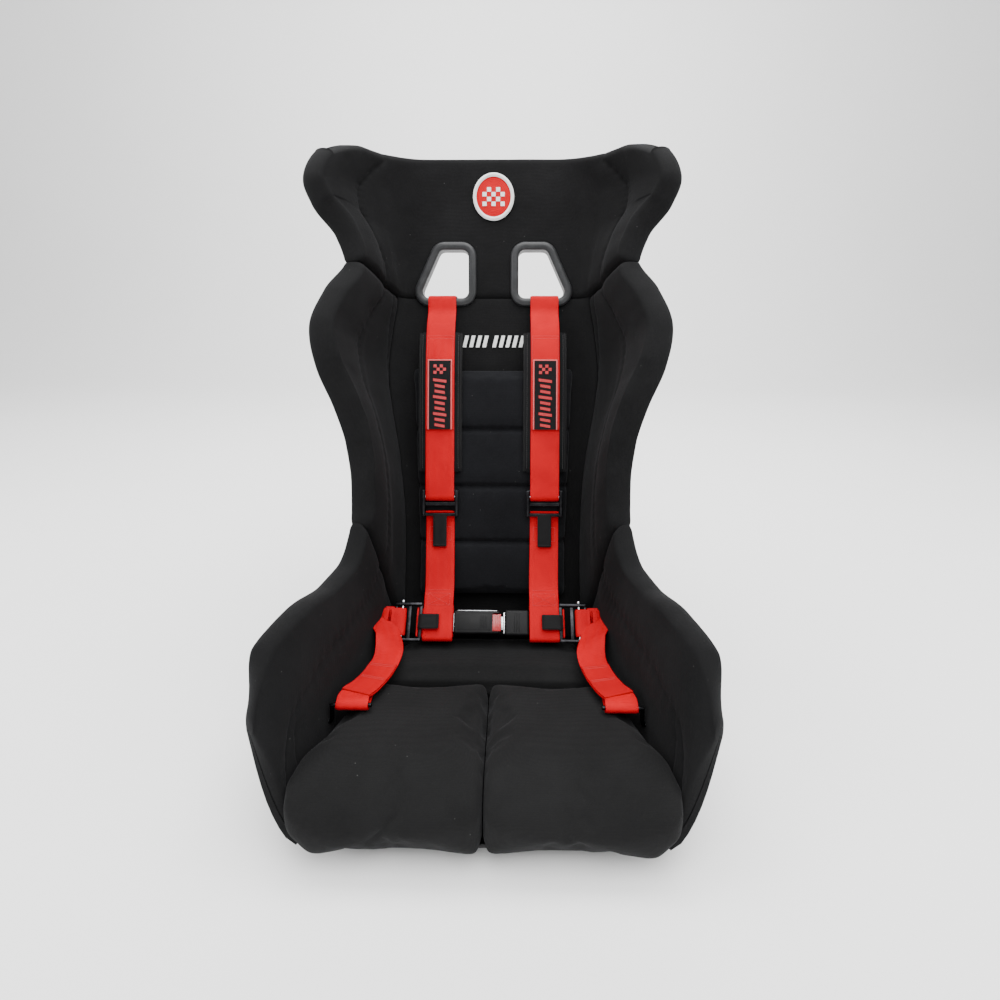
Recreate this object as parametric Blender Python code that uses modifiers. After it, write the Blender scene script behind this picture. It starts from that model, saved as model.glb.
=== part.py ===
"""Racing bucket seat with a four-point harness.

Metres, +Z up. The front of the seat looks along -Y and its right-hand side is at +X.
The origin is on the flat underside of the shell, under the pan.
"""
import math

import bmesh
import bpy
from mathutils import Matrix, Vector

# ---------------------------------------------------------------- driving dimensions
GAP = 0.0003
SHELL_THICKNESS = 0.004
SHELL_CLEARANCE = 0.0011
EDGE_CLEARANCE = 0.0015

LINING_THICKNESS = 0.012
FOAM_HIP = 0.024
FOAM_SHOULDER = 0.030
FOAM_HEAD = 0.028
FOAM_HEAD_CENTRE = 0.013
WRAP_THICKNESS = 0.009
RIM_PROUD = 0.012
EDGE_REACH = 0.010
SEAM_GAP = 0.0010

WEB_WIDTH = 0.050
LAP_WIDTH = 0.044
WEB_THICKNESS = 0.0024

SLOT_CENTRE_Z = 0.6925
SLOT_LEAN = 0.158
SLOT_INNER_X = 0.045
SLOT_BOTTOM_OUTER_X = 0.128
SLOT_TOP_OUTER_X = 0.100
SLOT_HALF_HEIGHT = 0.0425
SLOT_CORNER = 0.012
BEZEL_WALL = 0.0025
BEZEL_FLANGE = 0.014
BEZEL_THICKNESS = 0.005
SLOT_MARGIN = 0.0006

STRAP_X = 0.092
LAP_TILT = math.radians(48.0)
LAP_CENTRE = Vector((0.0, 0.036, 0.120))
LAP_ADJUSTER_X = {1: 0.150, -1: 0.152}
LOOP_X = 0.0905
HOUSING_LEFT = -0.063
HOUSING_RIGHT = 0.015
COVER_LEFT = 0.0235
COVER_RIGHT = 0.064
BUCKLE_WIDTH = 0.038
TONGUE_REACH = 0.012
TONGUE_DROP = -0.0045
BUTTON_RISE = 0.0034
SPRING_WIRE = 0.0007
SPRING_RADIUS = 0.0018
SPRING_START = 0.0440
SPRING_LENGTH = 0.0225
SPRING_TURNS = 5
SPRING_STEPS = 8
ANCHOR_X = 0.183
ANCHOR_Y = -0.165
ANCHOR_Z = 0.122
ANCHOR_BOLT_Z = 0.095
ANCHOR_ROD = 0.003
ANCHOR_NUT_X = 0.258

# The spine position and height over the shell of the shoulder adjusters' bars.
ADJUSTER_U = 8.5
ADJUSTER_OFF = 0.0540
ADJUSTER_LIFT = 0.0040
ADJUSTER_FRAME = (0.064, 0.046, 0.0030)
ADJUSTER_WINDOW_X = 0.0525
ADJUSTER_WINDOWS = ((0.0, 0.018), (-0.0225, 0.013))
ADJUSTER_BAR_RADIUS = 0.0028
ADJUSTER_BAR_LENGTH = 0.0515
PULL_TAB_WIDTH = 0.024
SHOULDER_TAB = ((-0.0300, 0.0032), (-0.0370, 0.0034), (-0.0600, 0.0050), (-0.0850, 0.0060))
LAP_TAB = ((-0.0290, 0.0032), (-0.0300, 0.0040), (-0.0350, 0.0088), (-0.0640, 0.0092))
SHOULDER_PAD_WIDTH = 0.074
SHOULDER_PAD_THICKNESS = 0.006
SLEEVE_WIDTH = 0.049
SLEEVE_THICKNESS = 0.0022
EMBLEM_HALF_WIDTH = 0.0365
EMBLEM_HALF_HEIGHT = 0.041

BOSS_RADIUS = 0.015
BOSS_LENGTH = 0.090
BOSS_BORE_RADIUS = 0.0034
BOSS_BORE_DEPTH = 0.012
MOUNT_Z = 0.100
MOUNT_FACE_X = 0.262
MOUNT_FRONT_Y = -0.225
MOUNT_SPACING = 0.200

# The shell is a row of cross sections from the front lip, along the pan and up the back.
# Each row holds: middle y and z, rim x, y and z, half width of the flat middle, and the
# x of the side wall's foot.
STATIONS = (
    (-0.290, 0.030, 0.273, -0.262, 0.178, 0.184, 0.230),
    (-0.250, 0.014, 0.270, -0.222, 0.245, 0.188, 0.247),
    (-0.170, 0.004, 0.256, -0.150, 0.252, 0.180, 0.240),
    (-0.070, 0.004, 0.242, -0.070, 0.238, 0.165, 0.224),
    (0.045, 0.004, 0.230, -0.016, 0.242, 0.150, 0.208),
    (0.094, 0.024, 0.218, 0.014, 0.275, 0.142, 0.197),
    (0.122, 0.085, 0.211, 0.032, 0.330, 0.138, 0.191),
    (0.143, 0.165, 0.210, 0.037, 0.385, 0.138, 0.189),
    (0.166, 0.255, 0.214, 0.037, 0.440, 0.138, 0.191),
    (0.188, 0.350, 0.229, 0.037, 0.500, 0.140, 0.200),
    (0.208, 0.435, 0.252, 0.041, 0.560, 0.144, 0.216),
    (0.226, 0.510, 0.263, 0.060, 0.615, 0.148, 0.224),
    (0.243, 0.582, 0.249, 0.100, 0.665, 0.150, 0.214),
    (0.259, 0.650, 0.226, 0.145, 0.710, 0.150, 0.200),
    (0.2686, 0.710, 0.240, 0.150, 0.757, 0.148, 0.205),
    (0.278, 0.770, 0.272, 0.143, 0.803, 0.136, 0.220),
    (0.2868, 0.825, 0.280, 0.141, 0.842, 0.122, 0.222),
    (0.2965, 0.886, 0.258, 0.147, 0.876, 0.112, 0.205),
)
LAST_STATION = len(STATIONS) - 1
WAIST_SEAM = 5.5
NECK_SEAM = 13.0

# A cross section runs from 0 in the middle to 1 at the rim; the first part is flat.
FLAT_SHARE = 0.35
WALL_STEPS = 8
WALL_BULGE = 0.42
WALL_FLARE = 0.35
FOOT_STEP = 2
LIP_STEP = 6
SHELL_RIM_SHARE = 0.98

BLACK_FABRIC = (0.016, 0.016, 0.018, 1.0)
DARK_FABRIC = (0.010, 0.010, 0.013, 1.0)
SHELL_BLACK = (0.006, 0.006, 0.007, 1.0)
PLASTIC_GREY = (0.030, 0.031, 0.033, 1.0)
PLASTIC_BLACK = (0.008, 0.008, 0.009, 1.0)
WEB_RED = (0.680, 0.008, 0.020, 1.0)
STEEL = (0.550, 0.560, 0.580, 1.0)
DARK_STEEL = (0.060, 0.060, 0.065, 1.0)
PATCH_RED = (0.520, 0.008, 0.020, 1.0)

FINISHES = {
    "fabric": (BLACK_FABRIC, 0.95, 0.0),
    "fine_fabric": (DARK_FABRIC, 0.92, 0.0),
    "fibreglass": (SHELL_BLACK, 0.25, 0.0),
    "slot_plastic": (PLASTIC_GREY, 0.45, 0.0),
    "black_plastic": (PLASTIC_BLACK, 0.40, 0.0),
    "webbing": (WEB_RED, 0.70, 0.0),
    "black_webbing": (PLASTIC_BLACK, 0.75, 0.0),
    "steel": (STEEL, 0.25, 1.0),
    "dark_steel": (DARK_STEEL, 0.35, 1.0),
    "patch": (PATCH_RED, 0.70, 0.0),
    "red_plastic": (WEB_RED, 0.35, 0.0),
}


# ---------------------------------------------------------------- scene and objects
def clear_scene():
    for item in list(bpy.data.objects):
        bpy.data.objects.remove(item, do_unlink=True)


def new_collection(name):
    collection = bpy.data.collections.new(name)
    bpy.context.scene.collection.children.link(collection)
    return collection


def finish_material(name, finish):
    colour, roughness, metallic = FINISHES[finish]
    material = bpy.data.materials.new(name)
    material.use_nodes = True
    shader = material.node_tree.nodes["Principled BSDF"]
    shader.inputs["Base Color"].default_value = colour
    shader.inputs["Roughness"].default_value = roughness
    shader.inputs["Metallic"].default_value = metallic
    material.diffuse_color = colour
    return material


def object_from_bmesh(bm, name, finish, sharp_degrees=40.0):
    """A named object in the seat's collection, smooth but for its sharp edges."""
    bmesh.ops.recalc_face_normals(bm, faces=bm.faces[:])
    mesh = bpy.data.meshes.new(name)
    bm.to_mesh(mesh)
    bm.free()
    mesh.shade_smooth()
    mesh.set_sharp_from_angle(angle=math.radians(sharp_degrees))
    piece = bpy.data.objects.new(name, mesh)
    SEAT.objects.link(piece)
    mesh.materials.append(finish_material(name, finish))
    return piece


def add_bevel(piece, width, segments=2):
    bevel = piece.modifiers.new("bevel", "BEVEL")
    bevel.width = width
    bevel.segments = segments
    bevel.limit_method = "ANGLE"
    bevel.angle_limit = math.radians(35.0)


def cut(piece, cutter):
    """Take the cutter's volume out of the piece."""
    cutter.hide_render = True
    cutter.display_type = "WIRE"
    boolean = piece.modifiers.new("cut_" + cutter.name, "BOOLEAN")
    boolean.operation = "DIFFERENCE"
    boolean.solver = "EXACT"
    boolean.object = cutter


def as_cutter(piece):
    SEAT.objects.unlink(piece)
    CUTTERS.objects.link(piece)
    return piece


def cap_end(bm, row, strip):
    """Close a ring of vertices: by one face, or by a strip across a folded ring."""
    if not strip:
        bmesh.ops.triangulate(bm, faces=[bm.faces.new(row)])
        return
    last = len(row) - 1
    for k in range(len(row) // 2 - 1):
        bm.faces.new((row[k], row[k + 1], row[last - k - 1]))
        bm.faces.new((row[k], row[last - k - 1], row[last - k]))


def split_quad(bm, near, far, far_ahead, near_ahead):
    """Two triangles whose shared edge starts at the outboard corner, so layers split alike."""
    if abs(near.co.x) >= abs(far.co.x):
        bm.faces.new((near, far, far_ahead))
        bm.faces.new((near, far_ahead, near_ahead))
    else:
        bm.faces.new((near, far, near_ahead))
        bm.faces.new((far, far_ahead, near_ahead))


def loft(rings, name, finish, closed=False, strip_caps=False, sharp_degrees=40.0):
    """A closed body through rings of points; the end rings are capped unless it closes."""
    bm = bmesh.new()
    rows = [[bm.verts.new(point) for point in ring] for ring in rings]
    size = len(rows[0])
    spans = len(rows) if closed else len(rows) - 1
    for row in range(spans):
        here = rows[row]
        ahead = rows[(row + 1) % len(rows)]
        for k in range(size):
            after = (k + 1) % size
            split_quad(bm, here[k], here[after], ahead[after], ahead[k])
    if not closed:
        cap_end(bm, rows[0], strip_caps)
        cap_end(bm, rows[-1], strip_caps)
    return object_from_bmesh(bm, name, finish, sharp_degrees)


def box_object(name, size, finish, centre=(0.0, 0.0, 0.0), bevel=0.0):
    """A box of the given size about a centre in the object's own axes."""
    bm = bmesh.new()
    bmesh.ops.create_cube(bm, size=1.0)
    bmesh.ops.scale(bm, vec=size, verts=bm.verts)
    bmesh.ops.translate(bm, vec=centre, verts=bm.verts)
    piece = object_from_bmesh(bm, name, finish)
    if bevel:
        add_bevel(piece, bevel)
    return piece


def cylinder_object(name, radius, length, finish, axis="X", segments=16):
    """A cylinder about its own origin, along the given axis."""
    turns = {"X": Matrix.Rotation(math.pi / 2, 4, "Y"), "Y": Matrix.Rotation(math.pi / 2, 4, "X"),
             "Z": Matrix.Identity(4)}
    bm = bmesh.new()
    bmesh.ops.create_cone(bm, cap_ends=True, segments=segments, radius1=radius, radius2=radius,
                          depth=length, matrix=turns[axis])
    return object_from_bmesh(bm, name, finish)


# ---------------------------------------------------------------- the shell's surface
def eased_slope(before, after):
    """A slope between two steps that never overshoots them."""
    if before * after <= 0.0:
        return 0.0
    return 2.0 * before * after / (before + after)


def section_at(u):
    """The seven section measures at spine position u, counted in stations."""
    index = min(max(int(u), 0), LAST_STATION - 1)
    t = u - index
    measures = []
    for here, ahead, k in zip(STATIONS[index], STATIONS[index + 1], range(7)):
        step = ahead - here
        before = here - STATIONS[index - 1][k] if index > 0 else step
        after = STATIONS[index + 2][k] - ahead if index + 2 <= LAST_STATION else step
        start_slope = eased_slope(before, step)
        end_slope = eased_slope(step, after)
        value = here + step * (3 * t ** 2 - 2 * t ** 3)
        value += start_slope * (t ** 3 - 2 * t ** 2 + t) + end_slope * (t ** 3 - t ** 2)
        measures.append(value)
    return measures


def inner_point(u, v):
    """A point on the inside of the shell; v is 0 in the middle and 1 at the right rim."""
    centre_y, centre_z, rim_x, rim_y, rim_z, flat, wall = section_at(u)
    side = -1.0 if v < 0 else 1.0
    share = abs(v)
    if share <= FLAT_SHARE:
        return Vector((side * flat * share / FLAT_SHARE, centre_y, centre_z))
    t = (share - FLAT_SHARE) / (1.0 - FLAT_SHARE)
    flare = wall + WALL_FLARE * (rim_x - wall)
    x = flat * (1 - t) ** 3 + 3 * wall * t * (1 - t) ** 2 + 3 * flare * t ** 2 * (1 - t) + rim_x * t ** 3
    rise = 3 * WALL_BULGE * t ** 2 * (1 - t) + t ** 3
    return Vector((side * x, centre_y + (rim_y - centre_y) * rise, centre_z + (rim_z - centre_z) * rise))


def surface(u, v, off=0.0, beyond=0.0, ahead=0.0):
    """A point near the shell: off towards the driver, beyond the rim, ahead along the spine."""
    reach = 0.01
    low_u = max(u - reach, 0.0)
    high_u = min(u + reach, float(LAST_STATION))
    low_v = max(v - reach, -1.0)
    high_v = min(v + reach, 1.0)
    along = (inner_point(high_u, v) - inner_point(low_u, v)).normalized()
    across = (inner_point(u, high_v) - inner_point(u, low_v)).normalized()
    normal = across.cross(along).normalized()
    outward = across if v >= 0 else -across
    return inner_point(u, v) + normal * off + outward * beyond + along * ahead


def wall_v(step):
    """The section share at a whole step up the side wall."""
    return FLAT_SHARE + (1.0 - FLAT_SHARE) * step / WALL_STEPS


FLAT_SHARES = (0.0, FLAT_SHARE / 2)
WALL_SHARES = tuple(wall_v(k) for k in range(WALL_STEPS + 1))
RIGHT_SHARES = FLAT_SHARES + WALL_SHARES
ALL_SHARES = tuple(-v for v in reversed(RIGHT_SHARES[1:])) + RIGHT_SHARES
HALF_ROWS = tuple(k / 2 for k in range(2 * LAST_STATION + 1))


# ---------------------------------------------------------------- harness slots
def slot_frame(side):
    """Origin, right, up and outward directions of a shoulder slot."""
    middle_y = STATIONS[13][0] + (SLOT_CENTRE_Z - STATIONS[13][1]) * SLOT_LEAN
    up = Vector((0.0, SLOT_LEAN, 1.0)).normalized()
    outward = Vector((0.0, -up.z, up.y))
    return Vector((0.0, middle_y, SLOT_CENTRE_Z)), Vector((side, 0.0, 0.0)), up, outward


def slot_outline(grow, corner_steps=3):
    """The slot's rounded outline in its own plane, grown outwards."""
    corners = (
        (SLOT_INNER_X, -SLOT_HALF_HEIGHT, 1, 1, 180, 270),
        (SLOT_BOTTOM_OUTER_X, -SLOT_HALF_HEIGHT, -1, 1, 270, 378),
        (SLOT_TOP_OUTER_X, SLOT_HALF_HEIGHT, -1, -1, 378, 450),
        (SLOT_INNER_X, SLOT_HALF_HEIGHT, 1, -1, 90, 180),
    )
    outline = []
    for x, up, x_sign, up_sign, start, end in corners:
        centre_x = x + x_sign * SLOT_CORNER
        centre_up = up + up_sign * SLOT_CORNER
        for k in range(corner_steps + 1):
            angle = math.radians(start + (end - start) * k / corner_steps)
            radius = SLOT_CORNER + grow
            outline.append((centre_x + radius * math.cos(angle), centre_up + radius * math.sin(angle)))
    return outline


def slot_ring(side, grow, off):
    origin, right, up, outward = slot_frame(side)
    return [origin + right * x + up * rise + outward * off for x, rise in slot_outline(grow)]


def slot_cutter(name, side):
    grow = BEZEL_WALL + SLOT_MARGIN
    rings = [slot_ring(side, grow, off) for off in (-0.040, 0.050)]
    return as_cutter(loft(rings, name, "slot_plastic"))


def slot_bezels(side, word):
    """The front frame with its sleeve through the shell, and the frame behind it."""
    face = LINING_THICKNESS + 0.0022
    sleeve_end = -SHELL_THICKNESS - 0.0010
    front = [
        (0.0, sleeve_end), (BEZEL_WALL, sleeve_end), (BEZEL_WALL, face), (BEZEL_FLANGE, face),
        (BEZEL_FLANGE, face + BEZEL_THICKNESS / 2), (BEZEL_FLANGE - 0.003, face + BEZEL_THICKNESS),
        (0.003, face + BEZEL_THICKNESS), (0.0, face + BEZEL_THICKNESS / 2),
    ]
    loft([slot_ring(side, grow, off) for grow, off in front], "slot_bezel_front_" + word,
         "slot_plastic", closed=True)
    back = sleeve_end - GAP
    rear = [
        (0.0, back), (0.0, back - 0.004), (0.0105, back - 0.004), (BEZEL_FLANGE - 0.002, back - 0.002),
        (BEZEL_FLANGE - 0.002, back),
    ]
    loft([slot_ring(side, grow, off) for grow, off in rear], "slot_bezel_rear_" + word,
         "slot_plastic", closed=True)


# ---------------------------------------------------------------- shell
def seat_shell():
    bm = bmesh.new()
    shares = [max(-SHELL_RIM_SHARE, min(SHELL_RIM_SHARE, v)) for v in ALL_SHARES]
    rows = [[bm.verts.new(inner_point(u, v)) for v in shares] for u in HALF_ROWS]
    for here, ahead in zip(rows, rows[1:]):
        for k in range(len(here) - 1):
            split_quad(bm, here[k], here[k + 1], ahead[k + 1], ahead[k])
    mesh = bpy.data.meshes.new("seat_shell")
    bm.to_mesh(mesh)
    bm.free()
    mesh.shade_smooth()
    shell = bpy.data.objects.new("seat_shell", mesh)
    SEAT.objects.link(shell)
    mesh.materials.append(finish_material("seat_shell", "fibreglass"))
    solid = shell.modifiers.new("thickness", "SOLIDIFY")
    solid.thickness = SHELL_THICKNESS
    solid.offset = -1.0
    return shell


def mount_boss(name, side, y):
    """A bonded boss outside the hip, its inner end following the shell, with an M8 bore."""
    boss = cylinder_object(name, BOSS_RADIUS, BOSS_LENGTH, "dark_steel", segments=20)
    boss.location = (side * (MOUNT_FACE_X - BOSS_LENGTH / 2), y, MOUNT_Z)
    rings = []
    for u in HALF_ROWS[:9]:
        ring = [surface(u, v, off=-SHELL_THICKNESS - 0.0008) for v in RIGHT_SHARES]
        ring = [Vector((side * point.x, point.y, point.z)) for point in ring]
        rings.append(ring + [Vector((0.0, ring[-1].y, ring[-1].z))])
    cut(boss, as_cutter(loft(rings, name + "_shell_side", "fabric")))
    bore = cylinder_object(name + "_bore", BOSS_BORE_RADIUS, 2 * BOSS_BORE_DEPTH, "fabric", segments=12)
    bore.location = (side * MOUNT_FACE_X, y, MOUNT_Z)
    cut(boss, as_cutter(bore))
    return boss


# ---------------------------------------------------------------- upholstery
def rim_wrap(u, v, foam, ahead):
    """The foam round the shell's rim and the channel's end inside it, face to back."""
    back = -SHELL_THICKNESS - EDGE_CLEARANCE
    outer = ((foam * 0.75, RIM_PROUD * 0.72), (foam * 0.35, RIM_PROUD), (-SHELL_THICKNESS, RIM_PROUD),
             (-SHELL_THICKNESS - WRAP_THICKNESS * 0.8, RIM_PROUD * 0.6))
    inner = ((SHELL_CLEARANCE, EDGE_CLEARANCE / 2), (SHELL_CLEARANCE, EDGE_CLEARANCE),
             (back, EDGE_CLEARANCE), (back, EDGE_CLEARANCE / 2))
    return [[surface(u, v, off=off, beyond=beyond, ahead=ahead) for off, beyond in path]
            for path in (outer, inner)]


def wrap_lip(u, side, ahead):
    """The lip of foam behind the rim, from the rim inwards: its outside and its inside."""
    shares = [side * v for v in reversed(WALL_SHARES[LIP_STEP:])]
    offs = (-SHELL_THICKNESS - WRAP_THICKNESS, -SHELL_THICKNESS - EDGE_CLEARANCE)
    return [[surface(u, v, off=off, ahead=ahead) for v in shares] for off in offs]


def bolster_ring(u, side, foam, ahead):
    """A cross section of a side pad: its face, round the rim, a lip behind, the shell's channel."""
    shares = WALL_SHARES[FOOT_STEP:]
    face = []
    for k, v in enumerate(shares):
        swell = math.sin(math.pi / 2 * min(1.0, (k + 0.6) / 3))
        face.append(surface(u, v, off=LINING_THICKNESS + (foam - LINING_THICKNESS) * swell, ahead=ahead))
    channel = [surface(u, v, off=SHELL_CLEARANCE, ahead=ahead) for v in shares]
    rim_outer, rim_inner = rim_wrap(u, 1.0, foam, ahead)
    lip_outer, lip_inner = wrap_lip(u, 1.0, ahead)
    ring = face + rim_outer + lip_outer + list(reversed(channel + rim_inner + lip_inner))
    return [Vector((side * point.x, point.y, point.z)) for point in ring]


def pad_rows(first, last, first_reach, last_reach):
    """Spine rows of a pad, each with how far it is moved along; a long reach adds a row."""
    rows = [(u, 0.0) for u in HALF_ROWS if first < u < last]
    start = [(first, first_reach)]
    end = [(last, last_reach)]
    if abs(first_reach) > SEAM_GAP:
        start.append((first, 0.0))
    if abs(last_reach) > SEAM_GAP:
        end.insert(0, (last, 0.0))
    return start + rows + end


def bolster(name, side, first, last, foam, first_reach, last_reach):
    rows = pad_rows(first, last, first_reach, last_reach)
    rings = [bolster_ring(u, side, foam, ahead) for u, ahead in rows]
    return loft(rings, name, "fabric", strip_caps=True)


def head_ring(u, ahead):
    """A cross section over the whole head: both lips, both rims, the face and the channel."""
    wings = FOAM_HEAD - FOAM_HEAD_CENTRE
    face = []
    for v in ALL_SHARES:
        swell = min(1.0, max(0.0, (abs(v) - FLAT_SHARE) / 0.3))
        swell = swell * swell * (3 - 2 * swell)
        face.append(surface(u, v, off=FOAM_HEAD_CENTRE + wings * swell, ahead=ahead))
    channel = [surface(u, v, off=SHELL_CLEARANCE, ahead=ahead) for v in ALL_SHARES]
    outer = []
    inner = []
    for side in (-1.0, 1.0):
        rim_outer, rim_inner = rim_wrap(u, side, FOAM_HEAD, ahead)
        lip_outer, lip_inner = wrap_lip(u, side, ahead)
        if side < 0:
            outer = list(reversed(rim_outer + lip_outer)) + face
            inner = list(reversed(rim_inner + lip_inner)) + channel
        else:
            outer += rim_outer + lip_outer
            inner += rim_inner + lip_inner
    return outer + list(reversed(inner))


def head_pad():
    rings = [head_ring(u, ahead) for u, ahead in pad_rows(NECK_SEAM, LAST_STATION, GAP, EDGE_REACH)]
    return loft(rings, "head_pad", "fabric", strip_caps=True)


def back_lining():
    """The thin foam panel between the side pads, from the pan's rear corner to the head pad."""
    edge = WALL_SHARES[FOOT_STEP]
    shares = [v for v in ALL_SHARES if abs(v) <= edge + 1e-6]
    rings = []
    for u, ahead in pad_rows(WAIST_SEAM, NECK_SEAM, GAP, -GAP):
        ring = []
        for off, order in ((LINING_THICKNESS - GAP, shares), (SHELL_CLEARANCE, list(reversed(shares)))):
            for v in order:
                inset = -0.0012 if abs(v) > edge - 1e-6 else 0.0
                ring.append(surface(u, v, off=off, beyond=inset, ahead=ahead))
        rings.append(ring)
    return loft(rings, "back_lining", "fabric", strip_caps=True)


# ---------------------------------------------------------------- cushions
def cushion(name, sections, finish, bevel):
    """A cushion lofted through rings of points, its edges rounded."""
    piece = loft(sections, name, finish)
    add_bevel(piece, bevel, segments=2)
    return piece


def back_cushion():
    """The back cushion, thinner at its top edge, lying on the lining."""
    rings = []
    rows = (6.5, 7.0, 8.0, 9.0, 10.0, 11.0, 11.25)
    for u in rows:
        low = LINING_THICKNESS + GAP
        thick = 0.030 - 0.006 * (u - rows[0]) / (rows[-1] - rows[0])
        half = 0.136 + 0.014 * min(1.0, (u - rows[0]) / 4.0)
        ring = []
        for x, off in ((-half, low), (-half, low + thick), (half, low + thick), (half, low)):
            point = surface(u, 0.0, off=off)
            ring.append(Vector((x, point.y, point.z)))
        rings.append(ring)
    return cushion("back_cushion", rings, "fine_fabric", 0.008)


# Seat cushion sections: y, half width at the top, half width at the bottom, top z, bottom z.
REAR_SECTIONS = (
    (-0.068, 0.182, 0.150, 0.088, 0.0055),
    (-0.010, 0.172, 0.142, 0.081, 0.0055),
    (0.040, 0.158, 0.134, 0.073, 0.0100),
    (0.070, 0.146, 0.126, 0.069, 0.0300),
)
THIGH_SECTIONS = (
    (-0.304, 0.200, 0.180, 0.084, 0.050),
    (-0.292, 0.208, 0.182, 0.102, 0.040),
    (-0.256, 0.212, 0.180, 0.113, 0.022),
    (-0.200, 0.211, 0.172, 0.110, 0.0095),
    (-0.130, 0.200, 0.162, 0.100, 0.0055),
    (-0.0695, 0.183, 0.150, 0.089, 0.0055),
)


def cushion_ring(y, inner_x, top_half, bottom_half, top, bottom, side):
    shoulder = bottom + 0.55 * (top - bottom)
    outline = ((inner_x, bottom), (bottom_half, bottom), (top_half, shoulder), (top_half, top),
               (inner_x, top))
    return [Vector((side * x, y, z)) for x, z in outline]


def seat_cushions():
    rings = []
    for y, top_half, bottom_half, top, bottom in REAR_SECTIONS:
        right = cushion_ring(y, 0.0, top_half, bottom_half, top, bottom, 1)
        left = cushion_ring(y, 0.0, top_half, bottom_half, top, bottom, -1)
        rings.append(right[1:4] + list(reversed(left[1:4])))
    cushion("seat_cushion_rear", rings, "fabric", 0.008)
    for side, word in ((1, "right"), (-1, "left")):
        rings = []
        for y, top_half, bottom_half, top, bottom in THIGH_SECTIONS:
            rings.append(cushion_ring(y, 0.0015, top_half, bottom_half, top, bottom, side))
        cushion("thigh_pad_" + word, rings, "fabric", 0.010)


def emblem():
    """The oval patch on the head section."""
    origin, right, up, outward = slot_frame(1)
    rings = []
    height = (STATIONS[16][1] - SLOT_CENTRE_Z) / up.z
    for off in (FOAM_HEAD_CENTRE + 0.0015, FOAM_HEAD_CENTRE + 0.0035):
        ring = []
        for k in range(32):
            angle = 2 * math.pi * k / 32
            across = EMBLEM_HALF_WIDTH * math.cos(angle)
            rise = height + EMBLEM_HALF_HEIGHT * math.sin(angle)
            ring.append(origin + right * across + up * rise + outward * off)
        rings.append(ring)
    loft(rings, "emblem", "patch")


# ---------------------------------------------------------------- webbing
def ribbon(name, path, normals, finish="webbing", width=WEB_WIDTH, thickness=WEB_THICKNESS):
    """Flat webbing along a path; normals gives the way its face looks at each point."""
    widths = width if isinstance(width, list) else [width] * len(path)
    rings = []
    for k, point in enumerate(path):
        before = path[max(k - 1, 0)]
        after = path[min(k + 1, len(path) - 1)]
        along = (after - before).normalized()
        across = normals[k].cross(along).normalized()
        rise = along.cross(across) * thickness / 2
        across = across * widths[k] / 2
        rings.append([point - across - rise, point + across - rise, point + across + rise,
                      point - across + rise])
    return loft(rings, name, finish, sharp_degrees=60.0)


def side_view_ribbon(name, path, finish="webbing", width=WEB_WIDTH, thickness=WEB_THICKNESS):
    """Webbing that stays square to the side view, so its edges run along X."""
    normals = []
    for k in range(len(path)):
        along = path[min(k + 1, len(path) - 1)] - path[max(k - 1, 0)]
        normals.append(Vector((1.0, 0.0, 0.0)).cross(along))
    return ribbon(name, path, normals, finish, width, thickness)


def on_back(x, u, off):
    point = surface(u, 0.0, off=off)
    return Vector((x, point.y, point.z))


def in_slot(x, rise, off):
    origin, right, up, outward = slot_frame(1)
    return origin + Vector((x, 0.0, 0.0)) + up * rise + outward * off


def back_rotation(u):
    """Axes for a piece lying on the back: X across, Y up the back, Z towards the driver."""
    climb = inner_point(u + 0.5, 0.0) - inner_point(u - 0.5, 0.0)
    return Matrix.Rotation(math.atan2(climb.z, climb.y), 3, "X")


def lap_rotation(side):
    """Axes for a lap adjuster: X along the webbing's width, Y outwards, Z towards the driver."""
    tilt = Matrix.Rotation(LAP_TILT, 3, "X")
    outward = Vector((side, 0.0, 0.0))
    face = tilt @ Vector((0.0, 0.0, 1.0))
    return Matrix((outward.cross(face), outward, face)).transposed()


def lap_point(x, width, normal):
    return LAP_CENTRE + Matrix.Rotation(LAP_TILT, 3, "X") @ Vector((x, width, normal))


def adjuster_point(centre, rotation, y, z):
    return centre + rotation @ Vector((0.0, y, z))


def wrap_over_bar(centre, rotation):
    """The end of the webbing that comes in over the frame and turns round the bar."""
    turns = ((0.024, 0.0052), (0.008, 0.0056), (-0.0010, 0.0052), (-0.0056, 0.0018), (-0.0054, -0.0022),
             (-0.0015, -0.0054))
    return [adjuster_point(centre, rotation, y, z) for y, z in turns]


def shoulder_strap_upper(side, word):
    """From the anchor behind the shell, over the slot's lower edge and down to the adjuster."""
    x = side * STRAP_X
    path = [on_back(x, 9.9, -0.0085), on_back(x, 11.4, -0.0085), in_slot(x, -0.085, -0.0095),
            in_slot(x, -0.064, -0.0130), in_slot(x, -0.0450, -0.0140), in_slot(x, -0.0400, -0.0125),
            in_slot(x, -0.0390, 0.0), in_slot(x, -0.0400, 0.0200), in_slot(x, -0.0440, 0.0235),
            in_slot(x, -0.0520, 0.0240), in_slot(x, -0.0700, 0.0260), on_back(x, 12.2, 0.0400),
            on_back(x, 11.7, 0.0485), on_back(x, 11.2, 0.0540), on_back(x, 10.4, 0.0560),
            on_back(x, 9.6, 0.0575)]
    path += wrap_over_bar(on_back(x, ADJUSTER_U, ADJUSTER_OFF), back_rotation(ADJUSTER_U))
    side_view_ribbon("shoulder_strap_upper_" + word, path)


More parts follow.
